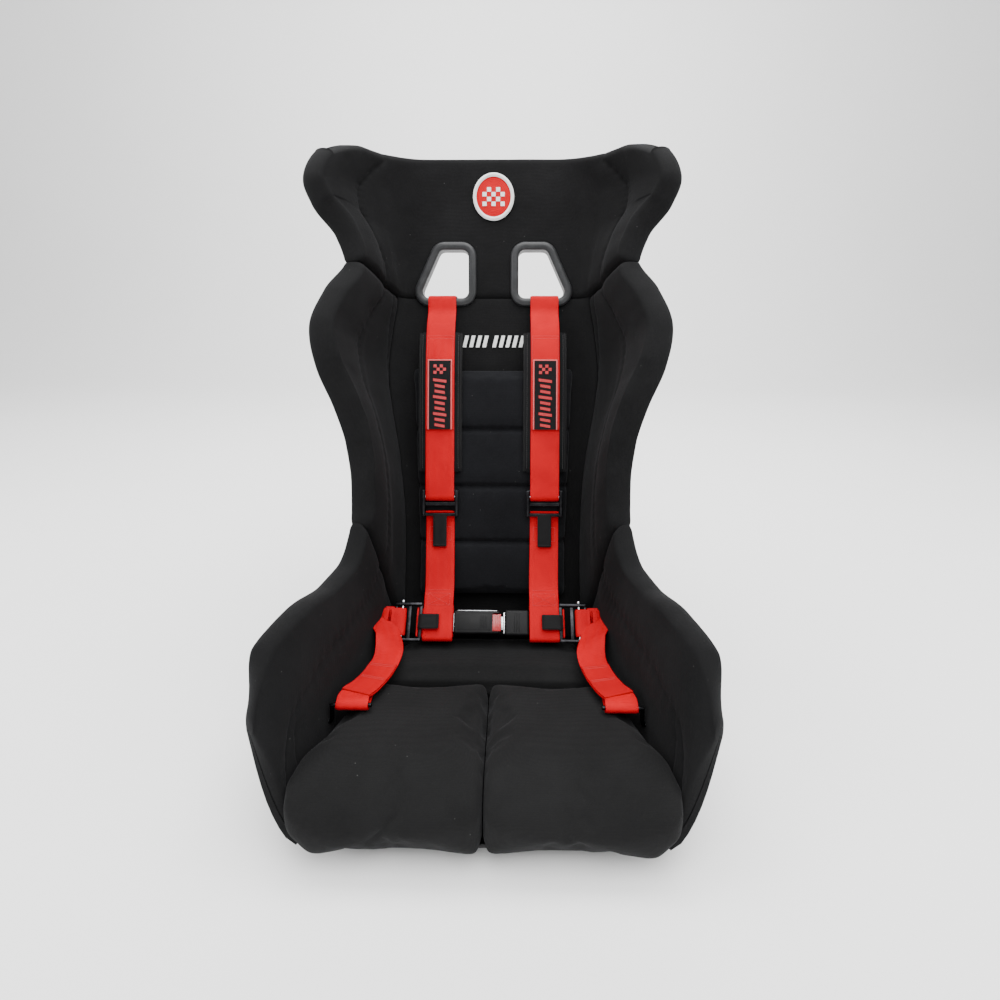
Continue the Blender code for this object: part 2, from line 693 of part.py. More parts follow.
def shoulder_anchor(side, word):
    """A flat steel end plate hanging from the strap behind the shell, with its bolt hole."""
    plate = box_object("shoulder_anchor_" + word, (0.046, 0.003, 0.058), "steel", bevel=0.0008)
    top = on_back(side * STRAP_X, 9.9, -0.0085)
    lean = back_rotation(9.5)
    plate.location = top + lean @ Vector((0.0, -0.0300, -0.0005))
    plate.rotation_euler = (lean @ Matrix.Rotation(-math.pi / 2, 3, "X")).to_euler()
    hole = cylinder_object(plate.name + "_hole", 0.0056, 0.02, "fabric", axis="Y", segments=16)
    hole.parent = plate
    hole.location = (0.0, 0.0, -0.012)
    cut(plate, as_cutter(hole))


def shoulder_pad(side, word):
    """The foam pad under the strap, and the webbing sleeve with its patch over the strap."""
    x = side * STRAP_X
    under = [on_back(x, 12.05, 0.0375), on_back(x, 11.7, 0.0440), on_back(x, 11.2, 0.0492),
             on_back(x, 10.4, 0.0510), on_back(x, 9.6, 0.0520), on_back(x, 8.95, 0.0500)]
    over = [on_back(x, 12.00, 0.0465), on_back(x, 11.7, 0.0515), on_back(x, 11.2, 0.0570),
            on_back(x, 10.4, 0.0590), on_back(x, 9.6, 0.0605)]
    side_view_ribbon("shoulder_pad_" + word, under, "fine_fabric", width=SHOULDER_PAD_WIDTH,
                     thickness=SHOULDER_PAD_THICKNESS)
    side_view_ribbon("shoulder_pad_sleeve_" + word, over, "black_webbing", width=SLEEVE_WIDTH,
                     thickness=SLEEVE_THICKNESS)


def local_frame(name, centre, rotation):
    """An empty that a small assembly is built on."""
    empty = bpy.data.objects.new(name, None)
    SEAT.objects.link(empty)
    empty.matrix_world = Matrix.Translation(centre) @ rotation.to_4x4()
    return empty


def adjuster(prefix, word, centre, rotation, tab_path):
    """A tilt-lock slider: a frame with two windows, a round bar and a pull tab, on the bar's axis."""
    base = local_frame(prefix + "_adjuster_axis_" + word, centre, rotation)
    frame = box_object(prefix + "_adjuster_frame_" + word, ADJUSTER_FRAME, "dark_steel",
                       centre=(0.0, -0.011, 0.0), bevel=0.0008)
    for number, (y, depth) in enumerate(ADJUSTER_WINDOWS):
        window = box_object(f"{frame.name}_window_{number}", (ADJUSTER_WINDOW_X, depth, 0.02), "fabric",
                            centre=(0.0, y, 0.0))
        window.parent = frame
        cut(frame, as_cutter(window))
    bar = cylinder_object(prefix + "_adjuster_bar_" + word, ADJUSTER_BAR_RADIUS, ADJUSTER_BAR_LENGTH,
                          "steel", segments=12)
    points = [Vector((0.0, y, z)) for y, z in tab_path]
    tab = side_view_ribbon(prefix + "_pull_tab_" + word, points, "black_webbing", width=PULL_TAB_WIDTH,
                           thickness=0.0020)
    for piece in (frame, bar, tab):
        piece.parent = base


def shoulder_adjuster(side, word):
    centre = on_back(side * STRAP_X, ADJUSTER_U, ADJUSTER_OFF)
    adjuster("shoulder", word, centre, back_rotation(ADJUSTER_U), SHOULDER_TAB)


def shoulder_strap_lower(side, word):
    """From under the adjuster down to a loop round the lap webbing."""
    centre = on_back(side * STRAP_X, ADJUSTER_U, ADJUSTER_OFF)
    rotation = back_rotation(ADJUSTER_U)
    x = side * LOOP_X
    path = [adjuster_point(centre, rotation, y, -0.0050) for y in (-0.0200, -0.0400, -0.0600)]
    path += [lap_point(x, width, normal) for width, normal in
             ((0.0700, 0.0070), (0.0400, 0.0062), (0.0280, 0.0055), (0.0, 0.0050), (-0.0260, 0.0046),
              (-0.0295, 0.0), (-0.0260, -0.0046), (0.0, -0.0050), (0.0300, -0.0050))]
    side_view_ribbon("shoulder_strap_lower_" + word, path)


def lap_adjuster(side, word):
    centre = lap_point(side * LAP_ADJUSTER_X[side], 0.0, ADJUSTER_LIFT)
    adjuster("lap", word, centre, lap_rotation(side), LAP_TAB)


def lap_strap(side, word):
    """From the adjuster out across the hip, round and forward to the loop on the anchor bar."""
    centre = lap_point(side * LAP_ADJUSTER_X[side], 0.0, ADJUSTER_LIFT)
    rotation = lap_rotation(side)
    face = rotation @ Vector((0.0, 0.0, 1.0))
    path = wrap_over_bar(centre, rotation)
    path[0] = adjuster_point(centre, rotation, 0.0140, 0.0050)
    path.reverse()
    normals = []
    for k in range(len(path)):
        along = path[min(k + 1, len(path) - 1)] - path[max(k - 1, 0)]
        normals.append(along.cross(rotation @ Vector((1.0, 0.0, 0.0))))
    outer_x = LAP_ADJUSTER_X[side]
    turn = ((0.0200, 0.030, 0.1245, 0.024), (0.0220, 0.022, 0.1205, 0.018), (0.0170, 0.010, 0.1165, 0.018),
            (0.0090, -0.008, 0.1125, 0.024), (0.0020, -0.030, 0.1100, 0.034))
    widths = [LAP_WIDTH] * (len(path) - 1) + [0.036] + [row[3] for row in turn]
    path += [Vector((side * (outer_x + out), y, z)) for out, y, z, _ in turn]
    up = Vector((0.0, 0.0, 1.0))
    normals += [(face + up * k / len(turn)).normalized() for k in range(len(turn))]
    path += [Vector((side * 0.164, -0.080, 0.112)), Vector((side * 0.174, -0.125, 0.120)),
             Vector((side * ANCHOR_X, -0.150, 0.1275)),
             Vector((side * ANCHOR_X, ANCHOR_Y, ANCHOR_Z + 0.0062)),
             Vector((side * ANCHOR_X, ANCHOR_Y - 0.0062, ANCHOR_Z)),
             Vector((side * ANCHOR_X, ANCHOR_Y, ANCHOR_Z - 0.0062)),
             Vector((side * ANCHOR_X, ANCHOR_Y + 0.0120, ANCHOR_Z - 0.0045)),
             Vector((side * ANCHOR_X, ANCHOR_Y + 0.0320, ANCHOR_Z - 0.0065))]
    normals += [up, up, up, Vector((0.0, -0.5, 1.0)), Vector((0.0, -1.0, 0.0)), -up, -up, -up]
    widths += [LAP_WIDTH] * (len(path) - len(widths))
    ribbon("lap_strap_" + word, path, normals, width=widths)


def lap_anchor(side, word, shell, bolster_piece):
    """The bent steel eye bolt that the lap strap is looped on, through the hip to a nut."""
    points = ((0.1570, ANCHOR_Z), (0.2080, ANCHOR_Z), (0.2115, ANCHOR_Z - 0.003),
              (0.2120, ANCHOR_Z - 0.010), (0.2125, ANCHOR_BOLT_Z + 0.006),
              (0.2150, ANCHOR_BOLT_Z + 0.001), (0.2200, ANCHOR_BOLT_Z), (0.2640, ANCHOR_BOLT_Z))
    path = [Vector((side * x, ANCHOR_Y, z)) for x, z in points]
    rings = []
    for k, point in enumerate(path):
        along = (path[min(k + 1, len(path) - 1)] - path[max(k - 1, 0)]).normalized()
        across = Vector((0.0, 1.0, 0.0))
        rise = along.cross(across)
        ring = []
        for step in range(10):
            angle = 2 * math.pi * step / 10
            ring.append(point + (across * math.cos(angle) + rise * math.sin(angle)) * ANCHOR_ROD)
        rings.append(ring)
    loft(rings, "lap_anchor_" + word, "dark_steel")
    for piece in (shell, bolster_piece):
        hole = cylinder_object(f"{piece.name}_anchor_hole_{word}", ANCHOR_ROD + 0.0008, 0.10, "fabric",
                               segments=12)
        hole.location = (side * 0.250, ANCHOR_Y, ANCHOR_BOLT_Z)
        cut(piece, as_cutter(hole))
    nut = cylinder_object("lap_anchor_nut_" + word, 0.0065, 0.0060, "steel", segments=6)
    nut.location = (side * ANCHOR_NUT_X, ANCHOR_Y, ANCHOR_BOLT_Z)
    bore = cylinder_object("lap_anchor_nut_bore_" + word, ANCHOR_ROD + GAP, 0.02, "fabric", segments=20)
    bore.location = nut.location
    cut(nut, as_cutter(bore))


def lap_web(name, side, inner_x):
    """Short webbing from under the lap adjuster to the buckle or the tongue's cover."""
    centre = lap_point(side * LAP_ADJUSTER_X[side], 0.0, ADJUSTER_LIFT)
    rotation = lap_rotation(side)
    outer = adjuster_point(centre, rotation, -0.0200, -0.0048)
    face = rotation @ Vector((0.0, 0.0, 1.0))
    path = [outer, adjuster_point(centre, rotation, -0.0450, -0.0044), lap_point(side * inner_x, 0.0, 0.0)]
    ribbon(name, path, [face] * len(path))


# ---------------------------------------------------------------- buckle
def buckle_housing():
    """The cover, hollow for the latch and open at the top over the press button."""
    length = HOUSING_RIGHT - HOUSING_LEFT
    middle = (HOUSING_RIGHT + HOUSING_LEFT) / 2
    housing = box_object("buckle_housing", (length, BUCKLE_WIDTH, 0.0200), "black_plastic",
                         centre=(middle, 0.0, 0.0), bevel=0.003)
    cavity = box_object("buckle_cavity", (0.050, 0.030, 0.0130), "fabric",
                        centre=(HOUSING_RIGHT - 0.020, 0.0, 0.0))
    window = box_object("buckle_window", (0.0250, 0.0300, 0.0100), "fabric",
                        centre=(HOUSING_RIGHT, 0.0, 0.0110))
    for hollow in (cavity, window):
        hollow.parent = housing
        cut(housing, as_cutter(hollow))
    return housing


def button_spring():
    """The coil between the button and the inner end of the cavity."""
    coil = bpy.data.curves.new("button_spring", "CURVE")
    coil.dimensions = "3D"
    coil.bevel_depth = SPRING_WIRE / 2
    coil.bevel_resolution = 1
    coil.use_fill_caps = True
    spline = coil.splines.new("POLY")
    count = SPRING_TURNS * SPRING_STEPS
    spline.points.add(count)
    for k, point in enumerate(spline.points):
        angle = 2 * math.pi * k / SPRING_STEPS
        x = HOUSING_RIGHT - SPRING_START + SPRING_LENGTH * k / count
        across = SPRING_RADIUS * math.cos(angle)
        point.co = (x, across, BUTTON_RISE + SPRING_RADIUS * math.sin(angle), 1.0)
    spring = bpy.data.objects.new("button_spring", coil)
    SEAT.objects.link(spring)
    coil.materials.append(finish_material("button_spring", "steel"))
    return spring


def buckle_inside():
    """The press button, its spring and the latch that holds the tongue."""
    button = box_object("buckle_button", (0.0230, 0.0285, 0.0052), "red_plastic",
                        centre=(HOUSING_RIGHT - 0.0095, 0.0, BUTTON_RISE), bevel=0.0008)
    latch = box_object("buckle_latch", (0.0180, 0.0200, 0.0022), "steel",
                       centre=(HOUSING_RIGHT - 0.0180, 0.0, -0.0011), bevel=0.0004)
    return [button, latch, button_spring()]


def tongue_pieces():
    """The steel tongue reaching into the housing, and the cover moulded round its outer end."""
    length = COVER_LEFT + 0.0265 - HOUSING_RIGHT + TONGUE_REACH
    tongue = box_object("tongue_plate", (length, 0.0220, 0.0025), "steel",
                        centre=(HOUSING_RIGHT - TONGUE_REACH + length / 2, 0.0, TONGUE_DROP), bevel=0.0005)
    cover = box_object("tongue_cover", (COVER_RIGHT - COVER_LEFT, 0.042, 0.0170), "black_plastic",
                       centre=((COVER_LEFT + COVER_RIGHT) / 2, 0.0, 0.0), bevel=0.003)
    pocket = box_object("tongue_pocket", (0.060, 0.0226, 0.0031), "fabric",
                        centre=(COVER_LEFT - 0.003, 0.0, TONGUE_DROP))
    pocket.parent = cover
    cut(cover, as_cutter(pocket))
    return [tongue, cover]


def buckle():
    """The whole buckle on an axis that lies along the lap webbing."""
    base = local_frame("buckle_axis", LAP_CENTRE, Matrix.Rotation(LAP_TILT, 3, "X"))
    for piece in [buckle_housing()] + buckle_inside() + tongue_pieces():
        piece.parent = base


# ---------------------------------------------------------------- build
clear_scene()
SEAT = new_collection("racing_seat")
CUTTERS = new_collection("cutters")

shell = seat_shell()
head = head_pad()
lining = back_lining()
back_cushion()
seat_cushions()
emblem()
buckle()
for side, word in ((1, "right"), (-1, "left")):
    hip = bolster("hip_bolster_" + word, side, 0.0, WAIST_SEAM, FOAM_HIP, -EDGE_REACH, -SEAM_GAP)
    bolster("shoulder_bolster_" + word, side, WAIST_SEAM, NECK_SEAM, FOAM_SHOULDER, SEAM_GAP, -GAP)
    slot_bezels(side, word)
    for piece in (shell, head, lining):
        cut(piece, slot_cutter(f"{piece.name}_slot_{word}", side))
    mount_boss("mount_boss_front_" + word, side, MOUNT_FRONT_Y)
    mount_boss("mount_boss_rear_" + word, side, MOUNT_FRONT_Y + MOUNT_SPACING)
    shoulder_strap_upper(side, word)
    shoulder_anchor(side, word)
    shoulder_pad(side, word)
    shoulder_adjuster(side, word)
    shoulder_strap_lower(side, word)
    lap_adjuster(side, word)
    lap_strap(side, word)
    lap_anchor(side, word, shell, hip)
lap_web("buckle_web", -1, -HOUSING_LEFT + 0.0015)
lap_web("tongue_web", 1, COVER_RIGHT + 0.0015)
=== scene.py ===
import math

import bmesh
import bpy
from mathutils import Matrix, Vector, noise


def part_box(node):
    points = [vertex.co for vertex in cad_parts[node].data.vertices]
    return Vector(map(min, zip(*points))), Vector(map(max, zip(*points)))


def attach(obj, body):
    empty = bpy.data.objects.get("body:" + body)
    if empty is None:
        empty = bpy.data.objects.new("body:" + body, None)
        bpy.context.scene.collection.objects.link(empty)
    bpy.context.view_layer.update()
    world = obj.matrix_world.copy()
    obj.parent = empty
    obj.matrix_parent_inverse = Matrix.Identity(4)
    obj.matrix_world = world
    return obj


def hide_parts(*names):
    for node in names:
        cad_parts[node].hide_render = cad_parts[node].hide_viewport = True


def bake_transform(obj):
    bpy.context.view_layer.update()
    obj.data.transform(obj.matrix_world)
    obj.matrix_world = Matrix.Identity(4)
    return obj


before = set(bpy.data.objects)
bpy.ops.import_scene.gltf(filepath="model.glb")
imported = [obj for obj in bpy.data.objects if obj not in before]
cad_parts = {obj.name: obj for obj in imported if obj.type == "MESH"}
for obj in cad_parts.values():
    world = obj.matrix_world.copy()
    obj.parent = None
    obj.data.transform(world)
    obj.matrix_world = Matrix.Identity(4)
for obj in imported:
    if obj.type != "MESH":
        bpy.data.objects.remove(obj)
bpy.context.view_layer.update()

RIGHTWARDS = Vector((1.0, 0.0, 0.0))
UPWARDS = Vector((0.0, 0.0, 1.0))
SIDES = ((1, "right"), (-1, "left"))

# ---------------------------------------------------------------- driving dimensions
SHELL_THICKNESS = 0.004
SHELL_CLEARANCE = 0.0011
LINING_THICKNESS = 0.012
FOAM_HIP = 0.024
FOAM_SHOULDER = 0.030
FOAM_HEAD = 0.028
FOAM_HEAD_CENTRE = 0.013
WRAP_THICKNESS = 0.009
RIM_PROUD = 0.012
EDGE_REACH = 0.011
FRONT_THINNING = 0.011
RIM_STEPS = 16
LIP_STEPS = 8
LIP_END = 0.004
PAD_STEP = 0.0135
SKIN_SHARE = 0.98

MERGE_DISTANCE = 1e-6
WEB_WIDTH = 0.050
WEB_THICKNESS = 0.0024
LAP_WIDTH = 0.044
STITCH_PITCH = 0.0034
THREAD_RADIUS = 0.0005

SLOT_CENTRE_Z = 0.6925
SLOT_LEAN = 0.158
SLOT_INNER_X = 0.045
SLOT_BOTTOM_OUTER_X = 0.128
SLOT_TOP_OUTER_X = 0.100
SLOT_HALF_HEIGHT = 0.0425
SLOT_CORNER = 0.012
SLOT_PLAY = 0.0006
SLOT_CUT_BEHIND = 0.040
SLOT_CUT_AHEAD = 0.060
BEZEL_WALL = 0.0025
BEZEL_FLANGE = 0.014

EMBLEM_HALF_WIDTH = 0.0365
EMBLEM_HALF_HEIGHT = 0.0410
STRAP_X = 0.092
LAP_TILT = math.radians(48.0)
LAP_TURN = Matrix.Rotation(LAP_TILT, 3, "X")
LAP_CENTRE = Vector((0.0, 0.036, 0.120))
LAP_ADJUSTER_X = {1: 0.150, -1: 0.152}
LOOP_X = 0.0905
HOUSING_LEFT = -0.063
HOUSING_RIGHT = 0.015
COVER_LEFT = 0.0235
COVER_RIGHT = 0.064
BUCKLE_WIDTH = 0.038
ANCHOR_X = 0.183
ANCHOR_Y = -0.165
ANCHOR_Z = 0.122
ANCHOR_LOOP = 0.0062
LAP_OVERLAP = (0.165, -0.085, 0.1135)
LAP_LOOP = (ANCHOR_X, -0.150, 0.1275)

# Cross sections of the shell from the front lip, along the pan and up the back: middle y and z,
# rim x, y and z, half width of the flat middle, and the x of the side wall's foot.
STATIONS = (
    (-0.290, 0.030, 0.273, -0.262, 0.178, 0.184, 0.230),
    (-0.250, 0.014, 0.270, -0.222, 0.245, 0.188, 0.247),
    (-0.170, 0.004, 0.256, -0.150, 0.252, 0.180, 0.240),
    (-0.070, 0.004, 0.242, -0.070, 0.238, 0.165, 0.224),
    (0.045, 0.004, 0.230, -0.016, 0.242, 0.150, 0.208),
    (0.094, 0.024, 0.218, 0.014, 0.275, 0.142, 0.197),
    (0.122, 0.085, 0.211, 0.032, 0.330, 0.138, 0.191),
    (0.143, 0.165, 0.210, 0.037, 0.385, 0.138, 0.189),
    (0.166, 0.255, 0.214, 0.037, 0.440, 0.138, 0.191),
    (0.188, 0.350, 0.229, 0.037, 0.500, 0.140, 0.200),
    (0.208, 0.435, 0.252, 0.041, 0.560, 0.144, 0.216),
    (0.226, 0.510, 0.263, 0.060, 0.615, 0.148, 0.224),
    (0.243, 0.582, 0.249, 0.100, 0.665, 0.150, 0.214),
    (0.259, 0.650, 0.226, 0.145, 0.710, 0.150, 0.200),
    (0.2686, 0.710, 0.240, 0.150, 0.757, 0.148, 0.205),
    (0.278, 0.770, 0.272, 0.143, 0.803, 0.136, 0.220),
    (0.2868, 0.825, 0.283, 0.141, 0.842, 0.122, 0.222),
    (0.2965, 0.880, 0.283, 0.141, 0.899, 0.112, 0.200),
)
LAST_STATION = len(STATIONS) - 1
WAIST_SEAM = 5.5
NECK_SEAM = 13.0
FLAT_SHARE = 0.35
WALL_STEPS = 8
WALL_BULGE = 0.42
WALL_FLARE = 0.35
FOOT_SHARE = FLAT_SHARE + (1 - FLAT_SHARE) * 2 / WALL_STEPS
LIP_SHARE = FLAT_SHARE + (1 - FLAT_SHARE) * 6 / WALL_STEPS
METRES_PER_STATION = 0.078
METRES_PER_SHARE = 0.30
SKIN_START = 0.12
CORNER_STATIONS = 1.4
CORNER_SHARE = 0.24
CORNER_ROUNDING = 0.47

# ---------------------------------------------------------------- colours
CLOTH_DARK = (0.0038, 0.0038, 0.0040, 1.0)
CLOTH_LIGHT = (0.0088, 0.0088, 0.0092, 1.0)
SEAT_DARK = (0.0050, 0.0050, 0.0051, 1.0)
SEAT_LIGHT = (0.0104, 0.0104, 0.0106, 1.0)
FINE_DARK = (0.0036, 0.0037, 0.0044, 1.0)
FINE_LIGHT = (0.0082, 0.0085, 0.0100, 1.0)
LINT = (0.110, 0.109, 0.105, 1.0)
RED = (0.520, 0.000, 0.006, 1.0)
DEEP_RED = (0.270, 0.000, 0.003, 1.0)
BLACK = (0.0035, 0.0035, 0.0038, 1.0)
SOFT_BLACK = (0.0090, 0.0090, 0.0095, 1.0)
GREY = (0.018, 0.0185, 0.0195, 1.0)
LIGHT_GREY = (0.036, 0.037, 0.039, 1.0)
WHITE = (0.800, 0.800, 0.790, 1.0)
DIM_WHITE = (0.600, 0.600, 0.590, 1.0)
PINK = (0.620, 0.180, 0.180, 1.0)
STEEL = (0.560, 0.570, 0.590, 1.0)
WORN_STEEL = (0.300, 0.305, 0.315, 1.0)
BLACK_STEEL = (0.030, 0.030, 0.033, 1.0)
FLOOR_WHITE = (0.860, 0.860, 0.860, 1.0)


# ---------------------------------------------------------------- material nodes
def add_node(tree, kind, inputs=None, **settings):
    """A shader node with its inputs set by name."""
    node = tree.nodes.new("ShaderNode" + kind)
    for key, value in settings.items():
        setattr(node, key, value)
    for key, value in (inputs or {}).items():
        node.inputs[key].default_value = value
    return node


def feed(tree, socket, value):
    """Link a socket to another one, or set it to a fixed value."""
    if isinstance(value, bpy.types.NodeSocket):
        tree.links.new(value, socket)
    else:
        socket.default_value = value


def mix_colours(tree, share, first, second):
    """Blend two colours by a share; each of the three may be a value or a socket."""
    node = add_node(tree, "Mix", data_type="RGBA")
    colours = [socket for socket in node.inputs if socket.type == "RGBA"]
    for socket, value in ((node.inputs[0], share), (colours[0], first), (colours[1], second)):
        feed(tree, socket, value)
    return [socket for socket in node.outputs if socket.type == "RGBA"][0]


def math_of(tree, operation, first, second=0.0):
    node = add_node(tree, "Math", operation=operation)
    feed(tree, node.inputs[0], first)
    feed(tree, node.inputs[1], second)
    return node.outputs[0]


def remap(tree, value, low, high, new_low, new_high):
    ends = {"From Min": low, "From Max": high, "To Min": new_low, "To Max": new_high}
    node = add_node(tree, "MapRange", ends)
    tree.links.new(value, node.inputs["Value"])
    return node.outputs["Result"]


def noise_of(tree, coords, scale, detail=3.0, roughness=0.5):
    node = add_node(tree, "TexNoise", {"Scale": scale, "Detail": detail, "Roughness": roughness})
    tree.links.new(coords, node.inputs["Vector"])
    return node.outputs[0]


def cells_of(tree, coords, scale, randomness):
    node = add_node(tree, "TexVoronoi", {"Scale": scale, "Randomness": randomness})
    tree.links.new(coords, node.inputs["Vector"])
    return node.outputs["Distance"]


def bump_of(tree, height, distance, strength=1.0, below=None):
    node = add_node(tree, "Bump", {"Distance": distance, "Strength": strength})
    tree.links.new(height, node.inputs["Height"])
    if below is not None:
        tree.links.new(below, node.inputs["Normal"])
    return node.outputs["Normal"]


# Pointiness mask: it places the painted edge highlights on cloth, plastic and steel, and the darker
# selvages on webbing.
def edge_highlight_and_selvage(tree, low, high):
    """0 on flat areas and 1 on the sharpest outer edges."""
    edges = add_node(tree, "NewGeometry").outputs["Pointiness"]
    return remap(tree, edges, low, high, 0.0, 1.0)


def new_look(name):
    look = bpy.data.materials.new(name)
    look.use_nodes = True
    return look, look.node_tree, look.node_tree.nodes["Principled BSDF"]


def cloth_look(name, dark, light, pitch, sheen):
    """Knitted seat cloth: small even cells, soft shading, a painted highlight on its sharp outer edges and
    a few specks of lint.
    """
    look, tree, shader = new_look(name)
    coords = add_node(tree, "TexCoord").outputs["Object"]
    knit = cells_of(tree, coords, 1.0 / pitch, 0.30)
    broad = noise_of(tree, coords, 9.0, 4.0, 0.6)
    grain = noise_of(tree, coords, 260.0, 3.0, 0.7)
    fuzz = noise_of(tree, coords, 1400.0, 2.0)
    lint = cells_of(tree, coords, 46.0, 1.0)
    base = mix_colours(tree, remap(tree, broad, 0.35, 0.65, 0.15, 0.85), dark, light)
    base = mix_colours(tree, remap(tree, grain, 0.30, 0.70, 0.0, 0.35), base, light)
    base = mix_colours(tree, remap(tree, knit, 0.20, 0.75, 0.0, 0.55), base, dark)
    base = mix_colours(tree, remap(tree, lint, 0.035, 0.020, 0.0, 0.60), base, LINT)
    # Painted highlight: the cloth is made lighter on its sharp outer edges.
    base = mix_colours(tree, math_of(tree, "MULTIPLY", edge_highlight_and_selvage(tree, 0.52, 0.60), 0.35), base, light)
    tree.links.new(base, shader.inputs["Base Color"])
    tree.links.new(remap(tree, fuzz, 0.2, 0.8, 0.82, 1.0), shader.inputs["Roughness"])
    weave = bump_of(tree, knit, pitch * 0.35, 0.7)
    soft = bump_of(tree, grain, 0.0012, 0.35, weave)
    tree.links.new(soft, shader.inputs["Normal"])
    shader.inputs["Sheen Weight"].default_value = sheen
    shader.inputs["Sheen Roughness"].default_value = 0.45
    shader.inputs["Sheen Tint"].default_value = (0.62, 0.63, 0.66, 1.0)
    shader.inputs["Specular IOR Level"].default_value = 0.09
    return look


def webbing_look(name, dark, bright, sheen):
    """Woven belt: chevron ribs along the length, fine yarns across, edges a little worn."""
    look, tree, shader = new_look(name)
    coords = add_node(tree, "TexCoord")
    parts = add_node(tree, "SeparateXYZ")
    tree.links.new(coords.outputs["UV"], parts.inputs[0])
    fold = math_of(tree, "PINGPONG", parts.outputs["X"], 0.00625)
    slanted = math_of(tree, "ADD", parts.outputs["Y"], math_of(tree, "MULTIPLY", fold, 0.8))
    joined = add_node(tree, "CombineXYZ")
    tree.links.new(parts.outputs["X"], joined.inputs["X"])
    tree.links.new(slanted, joined.inputs["Y"])
    ribs = add_node(tree, "TexWave", {"Scale": 0.314 / 0.0019}, bands_direction="Y")
    yarns = add_node(tree, "TexWave", {"Scale": 0.314 / 0.0011}, bands_direction="X")
    tree.links.new(joined.outputs[0], ribs.inputs["Vector"])
    tree.links.new(joined.outputs[0], yarns.inputs["Vector"])
    weave = math_of(tree, "MULTIPLY", ribs.outputs[1], remap(tree, yarns.outputs[1], 0.0, 1.0, 0.6, 1.0))
    place = coords.outputs["Object"]
    broad = noise_of(tree, place, 22.0, 3.0)
    fuzz = noise_of(tree, place, 1100.0, 2.0)
    base = mix_colours(tree, remap(tree, weave, 0.0, 0.7, 0.35, 1.0), dark, bright)
    base = mix_colours(tree, remap(tree, broad, 0.40, 0.75, 0.0, 0.45), base, dark)
    base = mix_colours(tree, remap(tree, fuzz, 0.55, 0.80, 0.0, 0.18), base, bright)
    base = mix_colours(tree, math_of(tree, "MULTIPLY", edge_highlight_and_selvage(tree, 0.53, 0.62), 0.30), base, dark)
    tree.links.new(base, shader.inputs["Base Color"])
    tree.links.new(remap(tree, fuzz, 0.2, 0.8, 0.48, 0.72), shader.inputs["Roughness"])
    tree.links.new(bump_of(tree, weave, 0.00045, 0.7), shader.inputs["Normal"])
    shader.inputs["Specular IOR Level"].default_value = 0.10
    shader.inputs["Sheen Weight"].default_value = sheen
    shader.inputs["Sheen Roughness"].default_value = 0.35
    return look


def thread_look(name, dark, bright):
    """Sewing thread: twisted strands."""
    look, tree, shader = new_look(name)
    place = add_node(tree, "TexCoord").outputs["Object"]
    strands = add_node(tree, "TexWave", {"Scale": 420.0, "Distortion": 2.0}, bands_direction="DIAGONAL")
    tree.links.new(place, strands.inputs["Vector"])
    fuzz = noise_of(tree, place, 900.0)
    base = mix_colours(tree, strands.outputs[1], dark, bright)
    base = mix_colours(tree, remap(tree, fuzz, 0.3, 0.8, 0.0, 0.4), base, dark)
    tree.links.new(base, shader.inputs["Base Color"])
    tree.links.new(remap(tree, fuzz, 0.2, 0.8, 0.45, 0.70), shader.inputs["Roughness"])
    tree.links.new(bump_of(tree, strands.outputs[1], 0.0002), shader.inputs["Normal"])
    shader.inputs["Sheen Weight"].default_value = 0.2
    return look


def plastic_look(name, dark, light, rough_low, rough_high, coat=0.0):
    """Moulded plastic: fine spark texture, soft scuffs and a painted highlight on its edges."""
    look, tree, shader = new_look(name)
    place = add_node(tree, "TexCoord").outputs["Object"]
    spark = noise_of(tree, place, 1500.0, 2.0)
    scuffs = noise_of(tree, place, 55.0, 5.0, 0.7)
    base = mix_colours(tree, remap(tree, scuffs, 0.45, 0.75, 0.0, 0.7), dark, light)
    # Painted highlight: the plastic is made paler on its sharp outer edges.
    base = mix_colours(tree, math_of(tree, "MULTIPLY", edge_highlight_and_selvage(tree, 0.52, 0.60), 0.5), base, light)
    tree.links.new(base, shader.inputs["Base Color"])
    tree.links.new(remap(tree, scuffs, 0.25, 0.75, rough_low, rough_high), shader.inputs["Roughness"])
    tree.links.new(bump_of(tree, spark, 0.00022, 0.5), shader.inputs["Normal"])
    shader.inputs["Specular IOR Level"].default_value = 0.15 + coat
    shader.inputs["Coat Weight"].default_value = coat
    shader.inputs["Coat Roughness"].default_value = 0.15
    return look


def metal_look(name, dark, light, rough_low, rough_high):
    """Plated steel: brushed grain, stains and a painted highlight on its edges."""
    look, tree, shader = new_look(name)
    place = add_node(tree, "TexCoord").outputs["Object"]
    squash = add_node(tree, "Mapping", {"Scale": (60.0, 900.0, 900.0)})
    tree.links.new(place, squash.inputs["Vector"])
    brushed = noise_of(tree, squash.outputs[0], 1.0, 3.0)
    stains = noise_of(tree, place, 90.0, 4.0, 0.65)
    base = mix_colours(tree, remap(tree, stains, 0.35, 0.70, 0.0, 0.8), light, dark)
    # Painted highlight: the steel is made brighter on its sharp outer edges.
    base = mix_colours(tree, math_of(tree, "MULTIPLY", edge_highlight_and_selvage(tree, 0.56, 0.70), 0.35), base, light)
    tree.links.new(base, shader.inputs["Base Color"])
    tree.links.new(remap(tree, brushed, 0.25, 0.75, rough_low, rough_high), shader.inputs["Roughness"])
    tree.links.new(bump_of(tree, brushed, 0.00010, 0.6), shader.inputs["Normal"])
    shader.inputs["Metallic"].default_value = 1.0
    return look


def floor_look(name):
    look, tree, shader = new_look(name)
    place = add_node(tree, "TexCoord").outputs["Object"]
    haze = noise_of(tree, place, 1.5, 4.0)
    base = mix_colours(tree, remap(tree, haze, 0.3, 0.7, 0.0, 0.25), FLOOR_WHITE, WHITE)
    tree.links.new(base, shader.inputs["Base Color"])
    shader.inputs["Roughness"].default_value = 0.8
    return look


